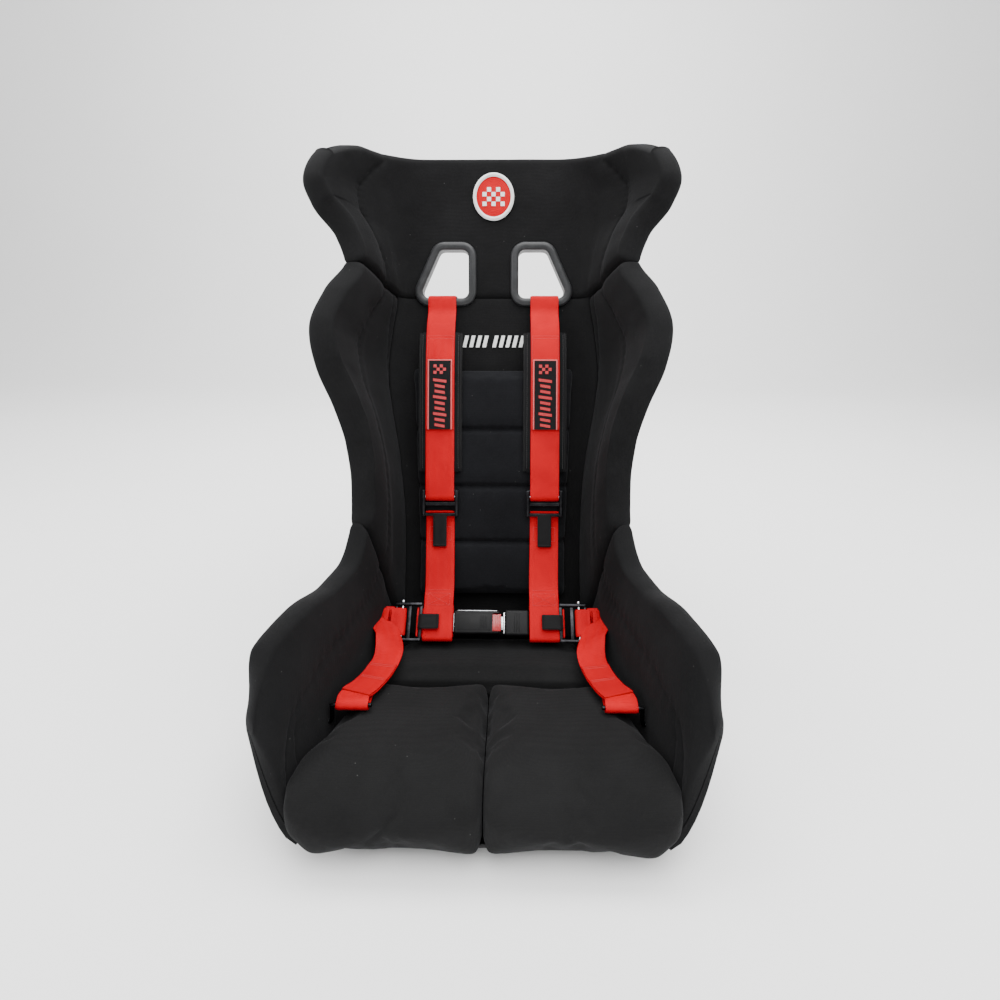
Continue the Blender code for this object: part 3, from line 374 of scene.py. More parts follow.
CLOTH = cloth_look("bolster_cloth", CLOTH_DARK, CLOTH_LIGHT, 0.0011, 0.03)
SEAT_CLOTH = cloth_look("seat_cloth", SEAT_DARK, SEAT_LIGHT, 0.0012, 0.04)
FINE_CLOTH = cloth_look("fine_cloth", FINE_DARK, FINE_LIGHT, 0.0008, 0.05)
PAD_CLOTH = cloth_look("pad_cloth", BLACK, SOFT_BLACK, 0.0009, 0.05)
RED_WEB = webbing_look("red_webbing", DEEP_RED, RED, 0.0)
BLACK_WEB = webbing_look("black_webbing", BLACK, SOFT_BLACK, 0.05)
RED_THREAD = thread_look("red_thread", DEEP_RED, RED)
PINK_THREAD = thread_look("pale_red_thread", RED, PINK)
WHITE_THREAD = thread_look("white_thread", DIM_WHITE, WHITE)
BLACK_THREAD = thread_look("black_thread", BLACK, SOFT_BLACK)
SLOT_PLASTIC = plastic_look("slot_plastic", GREY, LIGHT_GREY, 0.34, 0.50, 0.08)
BLACK_PLASTIC = plastic_look("black_plastic", BLACK, SOFT_BLACK, 0.42, 0.58)
RED_PLASTIC = plastic_look("red_plastic", DEEP_RED, RED, 0.25, 0.40, 0.30)
GELCOAT = plastic_look("gelcoat", BLACK, SOFT_BLACK, 0.30, 0.46, 0.06)
BRIGHT_STEEL = metal_look("bright_steel", WORN_STEEL, STEEL, 0.16, 0.34)
BLACKENED = metal_look("blackened_steel", BLACK, BLACK_STEEL, 0.26, 0.42)


# ---------------------------------------------------------------- meshes
def place_piece(name, mesh, looks, sharp_degrees=50.0):
    """A named object in the scene with its materials, smooth but for its sharp edges."""
    mesh.shade_smooth()
    mesh.set_sharp_from_angle(angle=math.radians(sharp_degrees))
    piece = bpy.data.objects.new(name, mesh)
    bpy.context.scene.collection.objects.link(piece)
    for look in looks:
        mesh.materials.append(look)
    return piece


def running_lengths(points):
    lengths = [0.0]
    for before, after in zip(points, points[1:]):
        lengths.append(lengths[-1] + (after - before).length)
    return lengths


def direction_at(points, k):
    """The way a path runs at one of its points, from the point before to the one after."""
    return points[min(k + 1, len(points) - 1)] - points[max(k - 1, 0)]


def path_normals(points, across):
    """The face directions of webbing along a path, from the direction across it."""
    return [direction_at(points, k).cross(across).normalized() for k in range(len(points))]


def add_rows(bm, points, look_index=0, closed=True):
    """Quads between rows of points; closed rows go round a solid, with a cap at each end."""
    rows = [[bm.verts.new(point) for point in row] for row in points]
    size = len(rows[0])
    for here, ahead in zip(rows, rows[1:]):
        for k in range(size if closed else size - 1):
            after = (k + 1) % size
            face = bm.faces.new((here[k], here[after], ahead[after], ahead[k]))
            face.material_index = look_index
    if closed:
        for row in (rows[0], rows[-1]):
            bm.faces.new(row).material_index = look_index


def mesh_of(bm, name):
    mesh = bpy.data.meshes.new(name)
    bm.to_mesh(mesh)
    bm.free()
    return mesh


def add_loft(bm, rings, look_index=0, caps=True):
    """Closed skin through rings of points; a folded ring is capped by strips across it."""
    layer = bm.loops.layers.uv.verify()
    size = len(rings[0])
    rows = [[bm.verts.new(point) for point in ring] for ring in rings]
    middle = rings[len(rings) // 2]
    around = running_lengths(list(middle) + [middle[0]])
    along = running_lengths([ring[0] for ring in rings])
    for r in range(len(rows) - 1):
        for k in range(size):
            after = (k + 1) % size
            face = bm.faces.new((rows[r][k], rows[r][after], rows[r + 1][after], rows[r + 1][k]))
            face.material_index = look_index
            spots = ((k, r), (k + 1, r), (k + 1, r + 1), (k, r + 1))
            for loop, (across, up) in zip(face.loops, spots):
                loop[layer].uv = (around[across], along[up])
    if caps:
        for row in (rows[0], rows[-1]):
            last = size - 1
            for k in range(size // 2 - 1):
                face = bm.faces.new((row[k], row[k + 1], row[last - k - 1], row[last - k]))
                face.material_index = look_index


def finish_bmesh(bm, name, looks, sharp_degrees=50.0):
    bmesh.ops.recalc_face_normals(bm, faces=bm.faces[:])
    return place_piece(name, mesh_of(bm, name), looks, sharp_degrees)


def loft(name, rings, look):
    bm = bmesh.new()
    add_loft(bm, rings)
    return finish_bmesh(bm, name, [look], 70.0)


def closed_loft(name, rings, look):
    """A ring-shaped body: the last ring joins the first."""
    bm = bmesh.new()
    add_loft(bm, rings + rings[:1], caps=False)
    bmesh.ops.remove_doubles(bm, verts=bm.verts, dist=MERGE_DISTANCE)
    return finish_bmesh(bm, name, [look], 35.0)


def add_rounded_box(bm, size, centre, radius, matrix=None, look_index=0, segments=3):
    """A box with rounded edges, placed by a matrix."""
    made = bmesh.ops.create_cube(bm, size=1.0)["verts"]
    bmesh.ops.scale(bm, vec=size, verts=made)
    bmesh.ops.translate(bm, vec=centre, verts=made)
    edges = list({edge for vertex in made for edge in vertex.link_edges})
    rounded = bmesh.ops.bevel(bm, geom=edges, offset=radius, segments=segments, affect="EDGES",
                              profile=0.5)
    faces = set(rounded["faces"])
    for vertex in rounded["verts"]:
        faces.update(vertex.link_faces)
    verts = {vertex for face in faces for vertex in face.verts}
    if matrix is not None:
        bmesh.ops.transform(bm, matrix=matrix, verts=list(verts))
    for face in faces:
        face.material_index = look_index


def add_tube(bm, path, radii, steps=24, look_index=0):
    """A round body along a path, closed at both ends, with a radius for each point."""
    rings = []
    for k, point in enumerate(path):
        along = direction_at(path, k).normalized()
        side = Vector((0.0, 1.0, 0.0)) if abs(along.y) < 0.9 else Vector((1.0, 0.0, 0.0))
        first = along.cross(side).normalized()
        second = along.cross(first)
        radius = radii[k]
        ring = []
        for step in range(steps):
            angle = 2 * math.pi * step / steps
            reach = radius[step % 2] if isinstance(radius, tuple) else radius
            ring.append(point + (first * math.cos(angle) + second * math.sin(angle)) * reach)
        rings.append(ring)
    add_loft(bm, rings, look_index)


def evaluated_copy(piece):
    graph = bpy.context.evaluated_depsgraph_get()
    return bpy.data.meshes.new_from_object(piece.evaluated_get(graph))


def bake_modifiers(piece):
    mesh = evaluated_copy(piece)
    piece.modifiers.clear()
    piece.data = mesh


def cut_by(piece, cutters):
    """Take the cutters' volumes out of a piece."""
    for cutter in cutters:
        boolean = piece.modifiers.new("cut", "BOOLEAN")
        boolean.operation = "DIFFERENCE"
        boolean.solver = "EXACT"
        boolean.object = cutter
    bake_modifiers(piece)
    for cutter in cutters:
        bpy.data.objects.remove(cutter, do_unlink=True)


def on_body(piece, body, nodes=()):
    """Put a finished piece on its body in place of CAD nodes."""
    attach(piece, body)
    if nodes:
        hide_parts(*nodes)
    return piece


# ---------------------------------------------------------------- the shell's surface
def eased_slope(before, after):
    """The slope of a smooth curve between two steps, level where they turn back."""
    if before * after <= 0.0:
        return 0.0
    return 2.0 * before * after / (before + after)


def section_at(u):
    """The seven section measures at spine position u, counted in stations."""
    index = min(max(int(u), 0), LAST_STATION - 1)
    t = u - index
    measures = []
    for here, ahead, k in zip(STATIONS[index], STATIONS[index + 1], range(7)):
        step = ahead - here
        before = here - STATIONS[index - 1][k] if index > 0 else step
        after = STATIONS[index + 2][k] - ahead if index + 2 <= LAST_STATION else step
        value = here + step * (3 * t ** 2 - 2 * t ** 3)
        value += eased_slope(before, step) * (t ** 3 - 2 * t ** 2 + t)
        value += eased_slope(step, after) * (t ** 3 - t ** 2)
        measures.append(value)
    return measures


def eased(t):
    """A smooth step from 0 to 1."""
    t = max(0.0, min(1.0, t))
    return t * t * (3 - 2 * t)


def rounded_corner(u, v):
    """Draws the head wings' top corners in, so that the outline runs round them."""
    up = (u - LAST_STATION + CORNER_STATIONS) / CORNER_STATIONS
    out = (abs(v) - 1.0 + CORNER_SHARE) / CORNER_SHARE
    if up <= 0.0 or out <= 0.0:
        return u, v
    round_up = up * math.sqrt(1.0 - CORNER_ROUNDING * out ** 2)
    round_out = out * math.sqrt(1.0 - CORNER_ROUNDING * up ** 2)
    side = -1.0 if v < 0 else 1.0
    share = 1.0 - CORNER_SHARE * (1.0 - round_out)
    return LAST_STATION - CORNER_STATIONS * (1.0 - round_up), side * share


def inner_point(u, v):
    """A point on the inside of the shell; v is 0 in the middle and 1 at the right rim."""
    u, v = rounded_corner(u, v)
    centre_y, centre_z, rim_x, rim_y, rim_z, flat, wall = section_at(u)
    side = -1.0 if v < 0 else 1.0
    share = abs(v)
    if share <= FLAT_SHARE:
        return Vector((side * flat * share / FLAT_SHARE, centre_y, centre_z))
    t = (share - FLAT_SHARE) / (1.0 - FLAT_SHARE)
    flare = wall + WALL_FLARE * (rim_x - wall)
    x = flat * (1 - t) ** 3 + 3 * wall * t * (1 - t) ** 2 + 3 * flare * t ** 2 * (1 - t) + rim_x * t ** 3
    rise = 3 * WALL_BULGE * t ** 2 * (1 - t) + t ** 3
    y = centre_y + (rim_y - centre_y) * rise
    return Vector((side * x, y, centre_z + (rim_z - centre_z) * rise))


def surface_frame(u, v):
    """A point of the shell's inside with its inward normal, outboard and onward directions."""
    reach = 0.01
    low_u = max(u - reach, 0.0)
    high_u = min(u + reach, float(LAST_STATION))
    low_v = max(v - reach, -1.0)
    high_v = min(v + reach, 1.0)
    along = (inner_point(high_u, v) - inner_point(low_u, v)).normalized()
    across = (inner_point(u, high_v) - inner_point(u, low_v)).normalized()
    normal = across.cross(along).normalized()
    if u < NECK_SEAM:
        return inner_point(u, v), normal, across if v >= 0 else -across, along
    outward = along.cross(normal) if v >= 0 else normal.cross(along)
    return inner_point(u, v), normal, outward, normal.cross(across)


def surface(u, v, off=0.0, beyond=0.0, ahead=0.0):
    point, normal, outward, along = surface_frame(u, v)
    return point + normal * off + outward * beyond + along * ahead


def on_back(x, u, off):
    """A point in front of the middle of the back, at a given x."""
    point = surface(u, 0.0, off=off)
    return Vector((x, point.y, point.z))


def slot_frame(side):
    """The shoulder slots' middle height with directions across, up and towards the driver."""
    middle_y = STATIONS[13][0] + (SLOT_CENTRE_Z - STATIONS[13][1]) * SLOT_LEAN
    up = Vector((0.0, SLOT_LEAN, 1.0)).normalized()
    outward = Vector((0.0, -up.z, up.y))
    return Vector((0.0, middle_y, SLOT_CENTRE_Z)), Vector((side, 0.0, 0.0)), up, outward


def in_slot(x, rise, off):
    origin, right, up, outward = slot_frame(1)
    return origin + right * x + up * rise + outward * off


def slot_ring(side, grow, off, corner_steps=10):
    """The slot's rounded outline, grown outwards and moved towards the driver."""
    origin, right, up, outward = slot_frame(side)
    corners = (
        (SLOT_INNER_X, -SLOT_HALF_HEIGHT, 1, 1, 180, 270),
        (SLOT_BOTTOM_OUTER_X, -SLOT_HALF_HEIGHT, -1, 1, 270, 378),
        (SLOT_TOP_OUTER_X, SLOT_HALF_HEIGHT, -1, -1, 378, 450),
        (SLOT_INNER_X, SLOT_HALF_HEIGHT, 1, -1, 90, 180),
    )
    ring = []
    for x, rise, x_sign, rise_sign, start, end in corners:
        for k in range(corner_steps + 1):
            angle = math.radians(start + (end - start) * k / corner_steps)
            across = x + x_sign * SLOT_CORNER + (SLOT_CORNER + grow) * math.cos(angle)
            height = rise + rise_sign * SLOT_CORNER + (SLOT_CORNER + grow) * math.sin(angle)
            ring.append(origin + right * across + up * height + outward * off)
    return ring


def cut_slots(piece):
    """Open both shoulder slots through a piece."""
    cutters = []
    for side in (1, -1):
        bm = bmesh.new()
        grow = BEZEL_WALL + SLOT_PLAY
        add_rows(bm, [slot_ring(side, grow, off) for off in (-SLOT_CUT_BEHIND, SLOT_CUT_AHEAD)])
        cutters.append(finish_bmesh(bm, "slot_cutter", [CLOTH]))
    cut_by(piece, cutters)


# ---------------------------------------------------------------- upholstery
def spaced(first, last, step):
    count = max(1, round((last - first) / step))
    return [first + (last - first) * k / count for k in range(count + 1)]


# Sewn seams as lines of (station, share) on the right-hand side.
HEAD_SEAMS = (
    ((17.2, 0.60), (16.7, 0.70), (16.1, 0.77), (15.2, 0.80), (14.2, 0.78), (12.8, 0.72)),
)
SHOULDER_SEAMS = (
    ((13.2, 0.72), (12.4, 0.80), (11.2, 0.85), (9.5, 0.86), (7.5, 0.87), (5.3, 0.88)),
    ((13.1, 0.66), (12.0, 0.58), (10.9, 0.53), (10.2, 0.50)),
)
HIP_SEAMS = (
    ((5.7, 0.88), (4.6, 0.90), (3.2, 0.90), (2.0, 0.88), (1.0, 0.84), (0.5, 0.78), (-0.2, 0.70)),
    ((1.3, 0.86), (0.95, 0.72), (0.72, 0.60), (0.60, 0.48)),
)


def seam_distance(u, v, seams):
    """Metres from a place on the shell to the nearest seam, and the length along that seam."""
    here = Vector((u * METRES_PER_STATION, abs(v) * METRES_PER_SHARE))
    best = (1.0, 0.0)
    for line in seams:
        points = [Vector((a * METRES_PER_STATION, b * METRES_PER_SHARE)) for a, b in line]
        run = 0.0
        for start, end in zip(points, points[1:]):
            span = end - start
            t = max(0.0, min(1.0, (here - start).dot(span) / span.length_squared))
            gap = (here - start - span * t).length
            if gap < best[0]:
                best = (gap, run + t * span.length)
            run += span.length
    return best


def seam_dip(gap, run):
    """How far cloth is drawn down beside a seam, with small puckers along it."""
    groove = 0.0030 * math.exp(-(gap / 0.0032) ** 2)
    pull = 0.0016 * math.exp(-(gap / 0.014) ** 2)
    pucker = 0.0005 * math.exp(-(gap / 0.010) ** 2) * math.sin(2 * math.pi * run / 0.019)
    return groove + pull + pucker


def ripple(point):
    """The slight unevenness of cloth over foam."""
    return 0.0011 * noise.noise(point * 16.0) + 0.0005 * noise.noise(point * 48.0)


def end_tuck(distance):
    """The share of a pad's thickness near its sewn end."""
    return 1.0 - 0.42 * math.exp(-(distance / 0.0055) ** 2) - 0.10 * math.exp(-(distance / 0.022) ** 2)


def lip_share(u, ahead, free_start):
    """Where the lip behind the rim ends; at the front edge it runs down to the pan."""
    if not free_start:
        return LIP_SHARE
    nearness = 1.0 if ahead < 0 else math.exp(-(u / 0.22) ** 2)
    return LIP_SHARE + (FOOT_SHARE + 0.02 - LIP_SHARE) * nearness


def corner_reach(v, ahead):
    """How much of its reach past the top edge a pad keeps near the wing's corner."""
    return 1.0 - 0.55 * eased((v - 0.78) / 0.22) if ahead > 0.0 else 1.0


def pad_pairs(u, side, foam, ahead, tuck, seams, shares, centre_foam=None, free_start=False):
    """Outer points of a pad over one side with their partners at the shell, face to lip."""
    pairs = []
    past_edge = abs(ahead) > 0.0025
    inside_face = -SHELL_THICKNESS / 2 + 0.0008 if past_edge else SHELL_CLEARANCE
    inside_lip = -SHELL_THICKNESS / 2 - 0.0008 if past_edge else -SHELL_THICKNESS - 0.0015
    for v in shares:
        steps = (v - FOOT_SHARE) / (1 - FLAT_SHARE) * WALL_STEPS
        if centre_foam is None:
            swell = math.sin(math.pi / 2 * min(1.0, max(0.0, steps + 0.6) / 3))
            thick = LINING_THICKNESS + (foam - LINING_THICKNESS) * swell
            thick -= 0.010 * math.exp(-max(0.0, steps) / 0.12)
        else:
            thick = centre_foam + (foam - centre_foam) * eased((v - FLAT_SHARE) / 0.3)
        point, normal, _, along = surface_frame(u, side * v)
        gap, run = seam_distance(u, v, seams)
        thick += 0.0050 * math.sin(math.pi * max(0.0, (v - 0.80) / 0.20))
        thick = thick * tuck - seam_dip(gap, run) + ripple(point)
        base = point + along * ahead * corner_reach(v, ahead)
        pairs.append((base + normal * thick, base + normal * inside_face))
    point, normal, outward, along = surface_frame(u, side)
    base = point + along * ahead * corner_reach(1.0, ahead)
    back = -SHELL_THICKNESS - WRAP_THICKNESS * (0.3 + 0.7 * tuck)
    front = foam * tuck
    middle = (front + back) / 2
    reach = (front - back) / 2
    proud = RIM_PROUD * (0.45 + 0.55 * tuck) - 0.0085 * (ahead / EDGE_REACH) ** 2
    for k in range(1, RIM_STEPS):
        angle = math.radians(90 - 180 * k / RIM_STEPS)
        off = middle + reach * math.sin(angle)
        beyond = proud * math.cos(angle) ** 0.75 + ripple(base) * 0.6
        inside = inside_face if k < RIM_STEPS / 2 else inside_lip
        past_rim = 0.0012 + 0.0014 * math.cos(angle)
        pairs.append((base + normal * off + outward * beyond,
                      base + normal * inside + outward * past_rim))
    lip_end = lip_share(u, ahead, free_start)
    for k in range(LIP_STEPS + 1):
        v = 1.0 - (1.0 - lip_end) * k / LIP_STEPS
        point, normal, _, along = surface_frame(u, side * v)
        base = point + along * ahead * corner_reach(v, ahead)
        taper = back if k < LIP_STEPS else -SHELL_THICKNESS - LIP_END
        pairs.append((base + normal * taper, base + normal * inside_lip))
    return pairs


def end_rows(u, reach_sign):
    """Rows that round a pad over a free edge of the shell: station, ahead and thickness share."""
    rows = []
    for k in range(7):
        angle = math.radians(90 - 90 * k / 6)
        tuck = 0.30 + 0.70 * math.cos(angle) ** 0.6 if k else 0.22
        rows.append((u, reach_sign * EDGE_REACH * math.sin(angle), tuck))
    return rows


def pad_rows(first, last, free_start, free_end, step=0.065):
    """Spine rows of a pad: station, ahead and the thickness share."""
    rows = []
    for u in spaced(first, last, step):
        tuck = 1.0
        if not free_start:
            tuck *= end_tuck((u - first) * METRES_PER_STATION)
        if not free_end:
            tuck *= end_tuck((last - u) * METRES_PER_STATION)
        rows.append((u, 0.0, tuck))
    if free_start:
        rows = end_rows(first, -1.0) + rows[1:]
    if free_end:
        rows = rows[:-1] + list(reversed(end_rows(last, 1.0)))
    return rows


def closed_ring(pairs):
    """The ring of a pad's section, out over its face and back along the shell."""
    return [pair[0] for pair in pairs] + [pair[1] for pair in reversed(pairs)]


def side_pad(name, side, first, last, foam, seams, free_start=False):
    shares = spaced(FOOT_SHARE, 1.0, PAD_STEP)
    shares = [FOOT_SHARE + 0.002, FOOT_SHARE + 0.005] + shares[1:]
    rings = []
    for u, ahead, tuck in pad_rows(first, last, free_start, False):
        here = foam - FRONT_THINNING * (1.0 - eased(u / 1.6)) if free_start else foam
        pairs = pad_pairs(u, side, here, ahead, tuck, seams, shares, free_start=free_start)
        rings.append(closed_ring(pairs))
    return loft(name, rings, CLOTH)


def head_cover():
    """The cover over the head section, with both wings, in one piece."""
    shares = spaced(0.0, 1.0, PAD_STEP)
    rings = []
    for u, ahead, tuck in pad_rows(NECK_SEAM, float(LAST_STATION), False, True):
        row = (FOAM_HEAD, ahead, tuck, HEAD_SEAMS)
        left = pad_pairs(u, -1, *row, shares[1:], FOAM_HEAD_CENTRE)
        right = pad_pairs(u, 1, *row, shares, FOAM_HEAD_CENTRE)
        rings.append(closed_ring(list(reversed(left)) + right))
    piece = loft("head_cover", rings, CLOTH)
    cut_slots(piece)
    return piece


def lining_cover():
    """The thin panel between the side pads."""
    shares = spaced(-FOOT_SHARE, FOOT_SHARE, 0.02)
    rings = []
    for u, _, tuck in pad_rows(WAIST_SEAM, NECK_SEAM, False, False):
        outer = []
        inner = []
        for v in shares:
            edge = (FOOT_SHARE - abs(v)) * METRES_PER_SHARE
            thick = LINING_THICKNESS * (0.75 + 0.25 * tuck) - 0.004 * math.exp(-(edge / 0.004) ** 2)
            point, normal, _, _ = surface_frame(u, v)
            outer.append(point + normal * (thick + 0.5 * ripple(point)))
            inner.append(point + normal * SHELL_CLEARANCE)
        rings.append(outer + list(reversed(inner)))
    piece = loft("lining_cover", rings, CLOTH)
    cut_slots(piece)
    return piece


def shell_skin():
    """The glass-fibre moulding at a finer grid, with its two slots."""
    bm = bmesh.new()
    shares = spaced(-SKIN_SHARE, SKIN_SHARE, 0.035)
    stations = spaced(SKIN_START, LAST_STATION, 0.125)
    add_rows(bm, [[inner_point(u, v) for v in shares] for u in stations], closed=False)
    piece = place_piece("shell_skin", mesh_of(bm, "shell_skin"), [GELCOAT])
    solid = piece.modifiers.new("thickness", "SOLIDIFY")
    solid.thickness = SHELL_THICKNESS
    solid.offset = -1.0
    bake_modifiers(piece)
    cut_slots(piece)
    return piece


# ---------------------------------------------------------------- cushions
def puff(piece, voxel, most):
    """Stuff a cushion: cloth under pressure, no point moving further than the given length."""
    remesh = piece.modifiers.new("even_grid", "REMESH")
    remesh.mode = "VOXEL"
    remesh.voxel_size = voxel
    smooth = piece.modifiers.new("soften", "SMOOTH")
    smooth.factor = 0.5
    smooth.iterations = 4
    bake_modifiers(piece)
    start = [vertex.co.copy() for vertex in piece.data.vertices]
    cloth = piece.modifiers.new("stuffing", "CLOTH")
    cloth.settings.quality = 4
    cloth.settings.use_pressure = True
    cloth.settings.uniform_pressure_force = STUFFING_PRESSURE
    cloth.settings.tension_stiffness = CLOTH_STIFFNESS
    cloth.settings.compression_stiffness = CLOTH_STIFFNESS
    cloth.settings.effector_weights.gravity = 0.0
    cloth.point_cache.frame_start = 1
    cloth.point_cache.frame_end = STUFFING_STEPS
    for step in range(1, STUFFING_STEPS + 1):
        bpy.context.scene.frame_set(step)
    bake_modifiers(piece)
    for vertex, origin in zip(piece.data.vertices, start):
        move = vertex.co - origin
        if move.length > most:
            vertex.co = origin + move * (most / move.length)
    bpy.context.scene.frame_set(1)
    fine = piece.modifiers.new("fine", "SUBSURF")
    fine.levels = 1
    fine.render_levels = 1
    bake_modifiers(piece)
    piece.data.shade_smooth()


def cushion_start(name, sections, look, radius):
    """A plain block through sections of points with well rounded edges, ready to be stuffed."""
    bm = bmesh.new()
    add_rows(bm, sections)
    piece = finish_bmesh(bm, name, [look])
    bevel = piece.modifiers.new("round", "BEVEL")
    bevel.width = radius
    bevel.segments = 5
    bevel.limit_method = "ANGLE"
    bevel.angle_limit = math.radians(35.0)
    return piece


# y, half width at the top, half width at the bottom, top z, bottom z
THIGH_SECTIONS = (
    (-0.309, 0.224, 0.202, 0.082, 0.034),
    (-0.299, 0.233, 0.206, 0.099, 0.026),
    (-0.276, 0.236, 0.202, 0.110, 0.022),
    (-0.240, 0.231, 0.190, 0.113, 0.017),
    (-0.190, 0.217, 0.176, 0.108, 0.0095),
    (-0.130, 0.203, 0.162, 0.099, 0.0060),
    (-0.0695, 0.189, 0.150, 0.089, 0.0060),
)
REAR_SECTIONS = (
    (-0.0675, 0.189, 0.150, 0.089, 0.0060),
    (-0.010, 0.175, 0.142, 0.082, 0.0060),
    (0.040, 0.160, 0.134, 0.074, 0.0110),
    (0.076, 0.146, 0.126, 0.069, 0.0330),
)
STUFFING_PRESSURE = 4.0
STUFFING_STEPS = 20
CLOTH_STIFFNESS = 12.0
SEAT_VOXEL = 0.005
SEAT_ROUNDING = 0.009
GROOVE_HALF = 0.0012
GROOVE_GAP = 0.0008
SEAM_GAP = 0.0002
CHANNELS = (7.64, 8.67, 9.79)


def cushion_side(top_half, bottom_half, top, bottom):
    """The side of a seat cushion's section, from its bottom corner to its top corner."""
    return (bottom_half, bottom), (top_half, (bottom + top) / 2), (top_half, top)


def settle(piece, floor, seam, away):
    """Draw a stuffed cushion down at the seam across the seat, and keep it off what is beside it."""
    for vertex in piece.data.vertices:
        point = vertex.co
        if point.z > 0.05:
            point.z -= 0.0012 * math.exp(-((point.y - seam) / 0.006) ** 2)
        if away * (point.y - seam) < SEAM_GAP:
            point.y = seam + away * SEAM_GAP
        point.z = max(point.z, floor)
        point.z += 0.0010 * noise.noise(point * 14.0)


def thigh_cushion(side, word):
    rings = []
    for y, *measures in THIGH_SECTIONS:
        outer = cushion_side(*measures)
        outline = ((GROOVE_HALF, outer[0][1]), *outer, (GROOVE_HALF, outer[-1][1]))
        rings.append([Vector((side * x, y, z)) for x, z in outline])
    piece = cushion_start("thigh_cushion_" + word, rings, SEAT_CLOTH, SEAT_ROUNDING)
    puff(piece, SEAT_VOXEL, 0.008)
    for vertex in piece.data.vertices:
        if side * vertex.co.x < GROOVE_GAP:
            vertex.co.x = side * GROOVE_GAP
    low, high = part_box("thigh_pad_" + word)
    settle(piece, low.z, high.y, -1)
    return piece


def rear_cushion():
    rings = []
    for y, *measures in REAR_SECTIONS:
        half = cushion_side(*measures)
        right = [Vector((x, y, z)) for x, z in half]
        left = [Vector((-x, y, z)) for x, z in reversed(half)]
        rings.append(right + left)
    piece = cushion_start("rear_cushion", rings, SEAT_CLOTH, SEAT_ROUNDING)
    puff(piece, SEAT_VOXEL, 0.006)
    low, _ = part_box("seat_cushion_rear")
    settle(piece, low.z, low.y, 1)
    return piece


def back_cushion():
    """The back cushion with its sewn cross channels."""
    rings = []
    rows = (6.5, 7.0, 8.0, 9.0, 10.0, 11.0, 11.25)
    low = LINING_THICKNESS + 0.0005
    for u in rows:
        thick = 0.029 - 0.006 * (u - rows[0]) / (rows[-1] - rows[0])
        half = 0.134 + 0.014 * min(1.0, (u - rows[0]) / 4.0)
        rings.append([on_back(x, u, off) for x, off in ((-half, low), (-half, low + thick),
                                                       (half, low + thick), (half, low))])
    piece = cushion_start("channelled_back_cushion", rings, FINE_CLOTH, 0.010)
    puff(piece, 0.0045, 0.007)
    lines = [surface(u, 0.0, off=0.03) for u in CHANNELS]
    climb = (lines[2] - lines[0]).normalized()
    inward = Vector((0.0, climb.z, -climb.y))
    for vertex in piece.data.vertices:
        point = vertex.co
        depth = (point - lines[1]).dot(inward)
        if depth > 0.006:
            continue
        for number, line in enumerate(lines):
            gap = (point - line).dot(climb)
            groove = 0.0070 * math.exp(-(gap / 0.0045) ** 2) + 0.0028 * math.exp(-(gap / 0.016) ** 2)
            wave = math.sin(point.x * 2 * math.pi / 0.021 + number)
            pucker = 0.0007 * math.exp(-(gap / 0.012) ** 2) * wave
            vertex.co += inward * (groove + pucker)
            point = vertex.co
        for line in lines:
            gap = (point - line).dot(climb)
            edge = max(0.0, abs(point.x) - 0.120) / 0.03
            point.x -= math.copysign(0.0040 * edge * math.exp(-(gap / 0.010) ** 2), point.x)
    return piece


# ---------------------------------------------------------------- webbing
def smooth_path(points, spacing):
    """Catmull-Rom points at an even spacing, with each point's place between the given ones."""
    dense = []
    marks = []
    for k in range(len(points) - 1):
        before = points[max(k - 1, 0)]
        after = points[min(k + 2, len(points) - 1)]
        here, ahead = points[k], points[k + 1]
        count = max(2, round((ahead - here).length / spacing))
        for step in range(count):
            t = step / count
            dense.append(0.5 * ((2 * here) + (ahead - before) * t
                                + (2 * before - 5 * here + 4 * ahead - after) * t * t
                                + (3 * here - before - 3 * ahead + after) * t ** 3))
            marks.append(k + t)
    dense.append(points[-1].copy())
    marks.append(float(len(points) - 1))
    return dense, marks


class Band:
    """Flat webbing along a path, and the places on its face."""

    def __init__(self, points, normals, width, thickness, spacing=0.0035):
        self.path, marks = smooth_path(points, spacing)
        self.width = width
        self.thickness = thickness
        self.frames = []
        for k, mark in enumerate(marks):
            index = min(int(mark), len(points) - 2)
            t = mark - index
            guide = normals[index].normalized().lerp(normals[index + 1].normalized(), t)
            along = direction_at(self.path, k).normalized()
            across = guide.cross(along).normalized()
            self.frames.append((along, across, along.cross(across).normalized()))
        self.lengths = running_lengths(self.path)

    def rings(self, across_steps=14):
        """Cross sections with thicker selvages and rounded edges."""
        rings = []
        for point, (_, across, face) in zip(self.path, self.frames):
            top = []
            bottom = []
            for k in range(across_steps + 1):
                s = -1.0 + 2.0 * k / across_steps
                edge = 1.0 - abs(s)
                thick = self.thickness / 2 * (1.0 + 0.18 * math.exp(-(edge / 0.12) ** 2))
                if k in (0, across_steps):
                    thick = self.thickness * 0.22
                wave = 0.00025 * noise.noise((point + across * s * self.width) * 60.0)
                spot = point + across * (s * self.width / 2)
                top.append(spot + face * (thick + wave))
                bottom.append(spot - face * (thick - wave))
            rings.append(top + list(reversed(bottom)))
        return rings

    def place(self, run, aside, lift):
        """The point at a length along and a distance aside on the face, with its directions."""
        run = max(0.0, min(run, self.lengths[-1] - 1e-6))
        k = max(i for i, length in enumerate(self.lengths) if length <= run)
        t = (run - self.lengths[k]) / (self.lengths[k + 1] - self.lengths[k])
        along, across, face = self.frames[k]
        face = face.lerp(self.frames[k + 1][2], t).normalized()
        point = self.path[k].lerp(self.path[k + 1], t)
        return point + across * aside + face * (self.thickness / 2 + lift), along, across, face

    def run_near(self, point):
        """The length along the band that is nearest to a point."""
        nearest = min(range(len(self.path)), key=lambda k: (self.path[k] - point).length)
        return self.lengths[nearest]


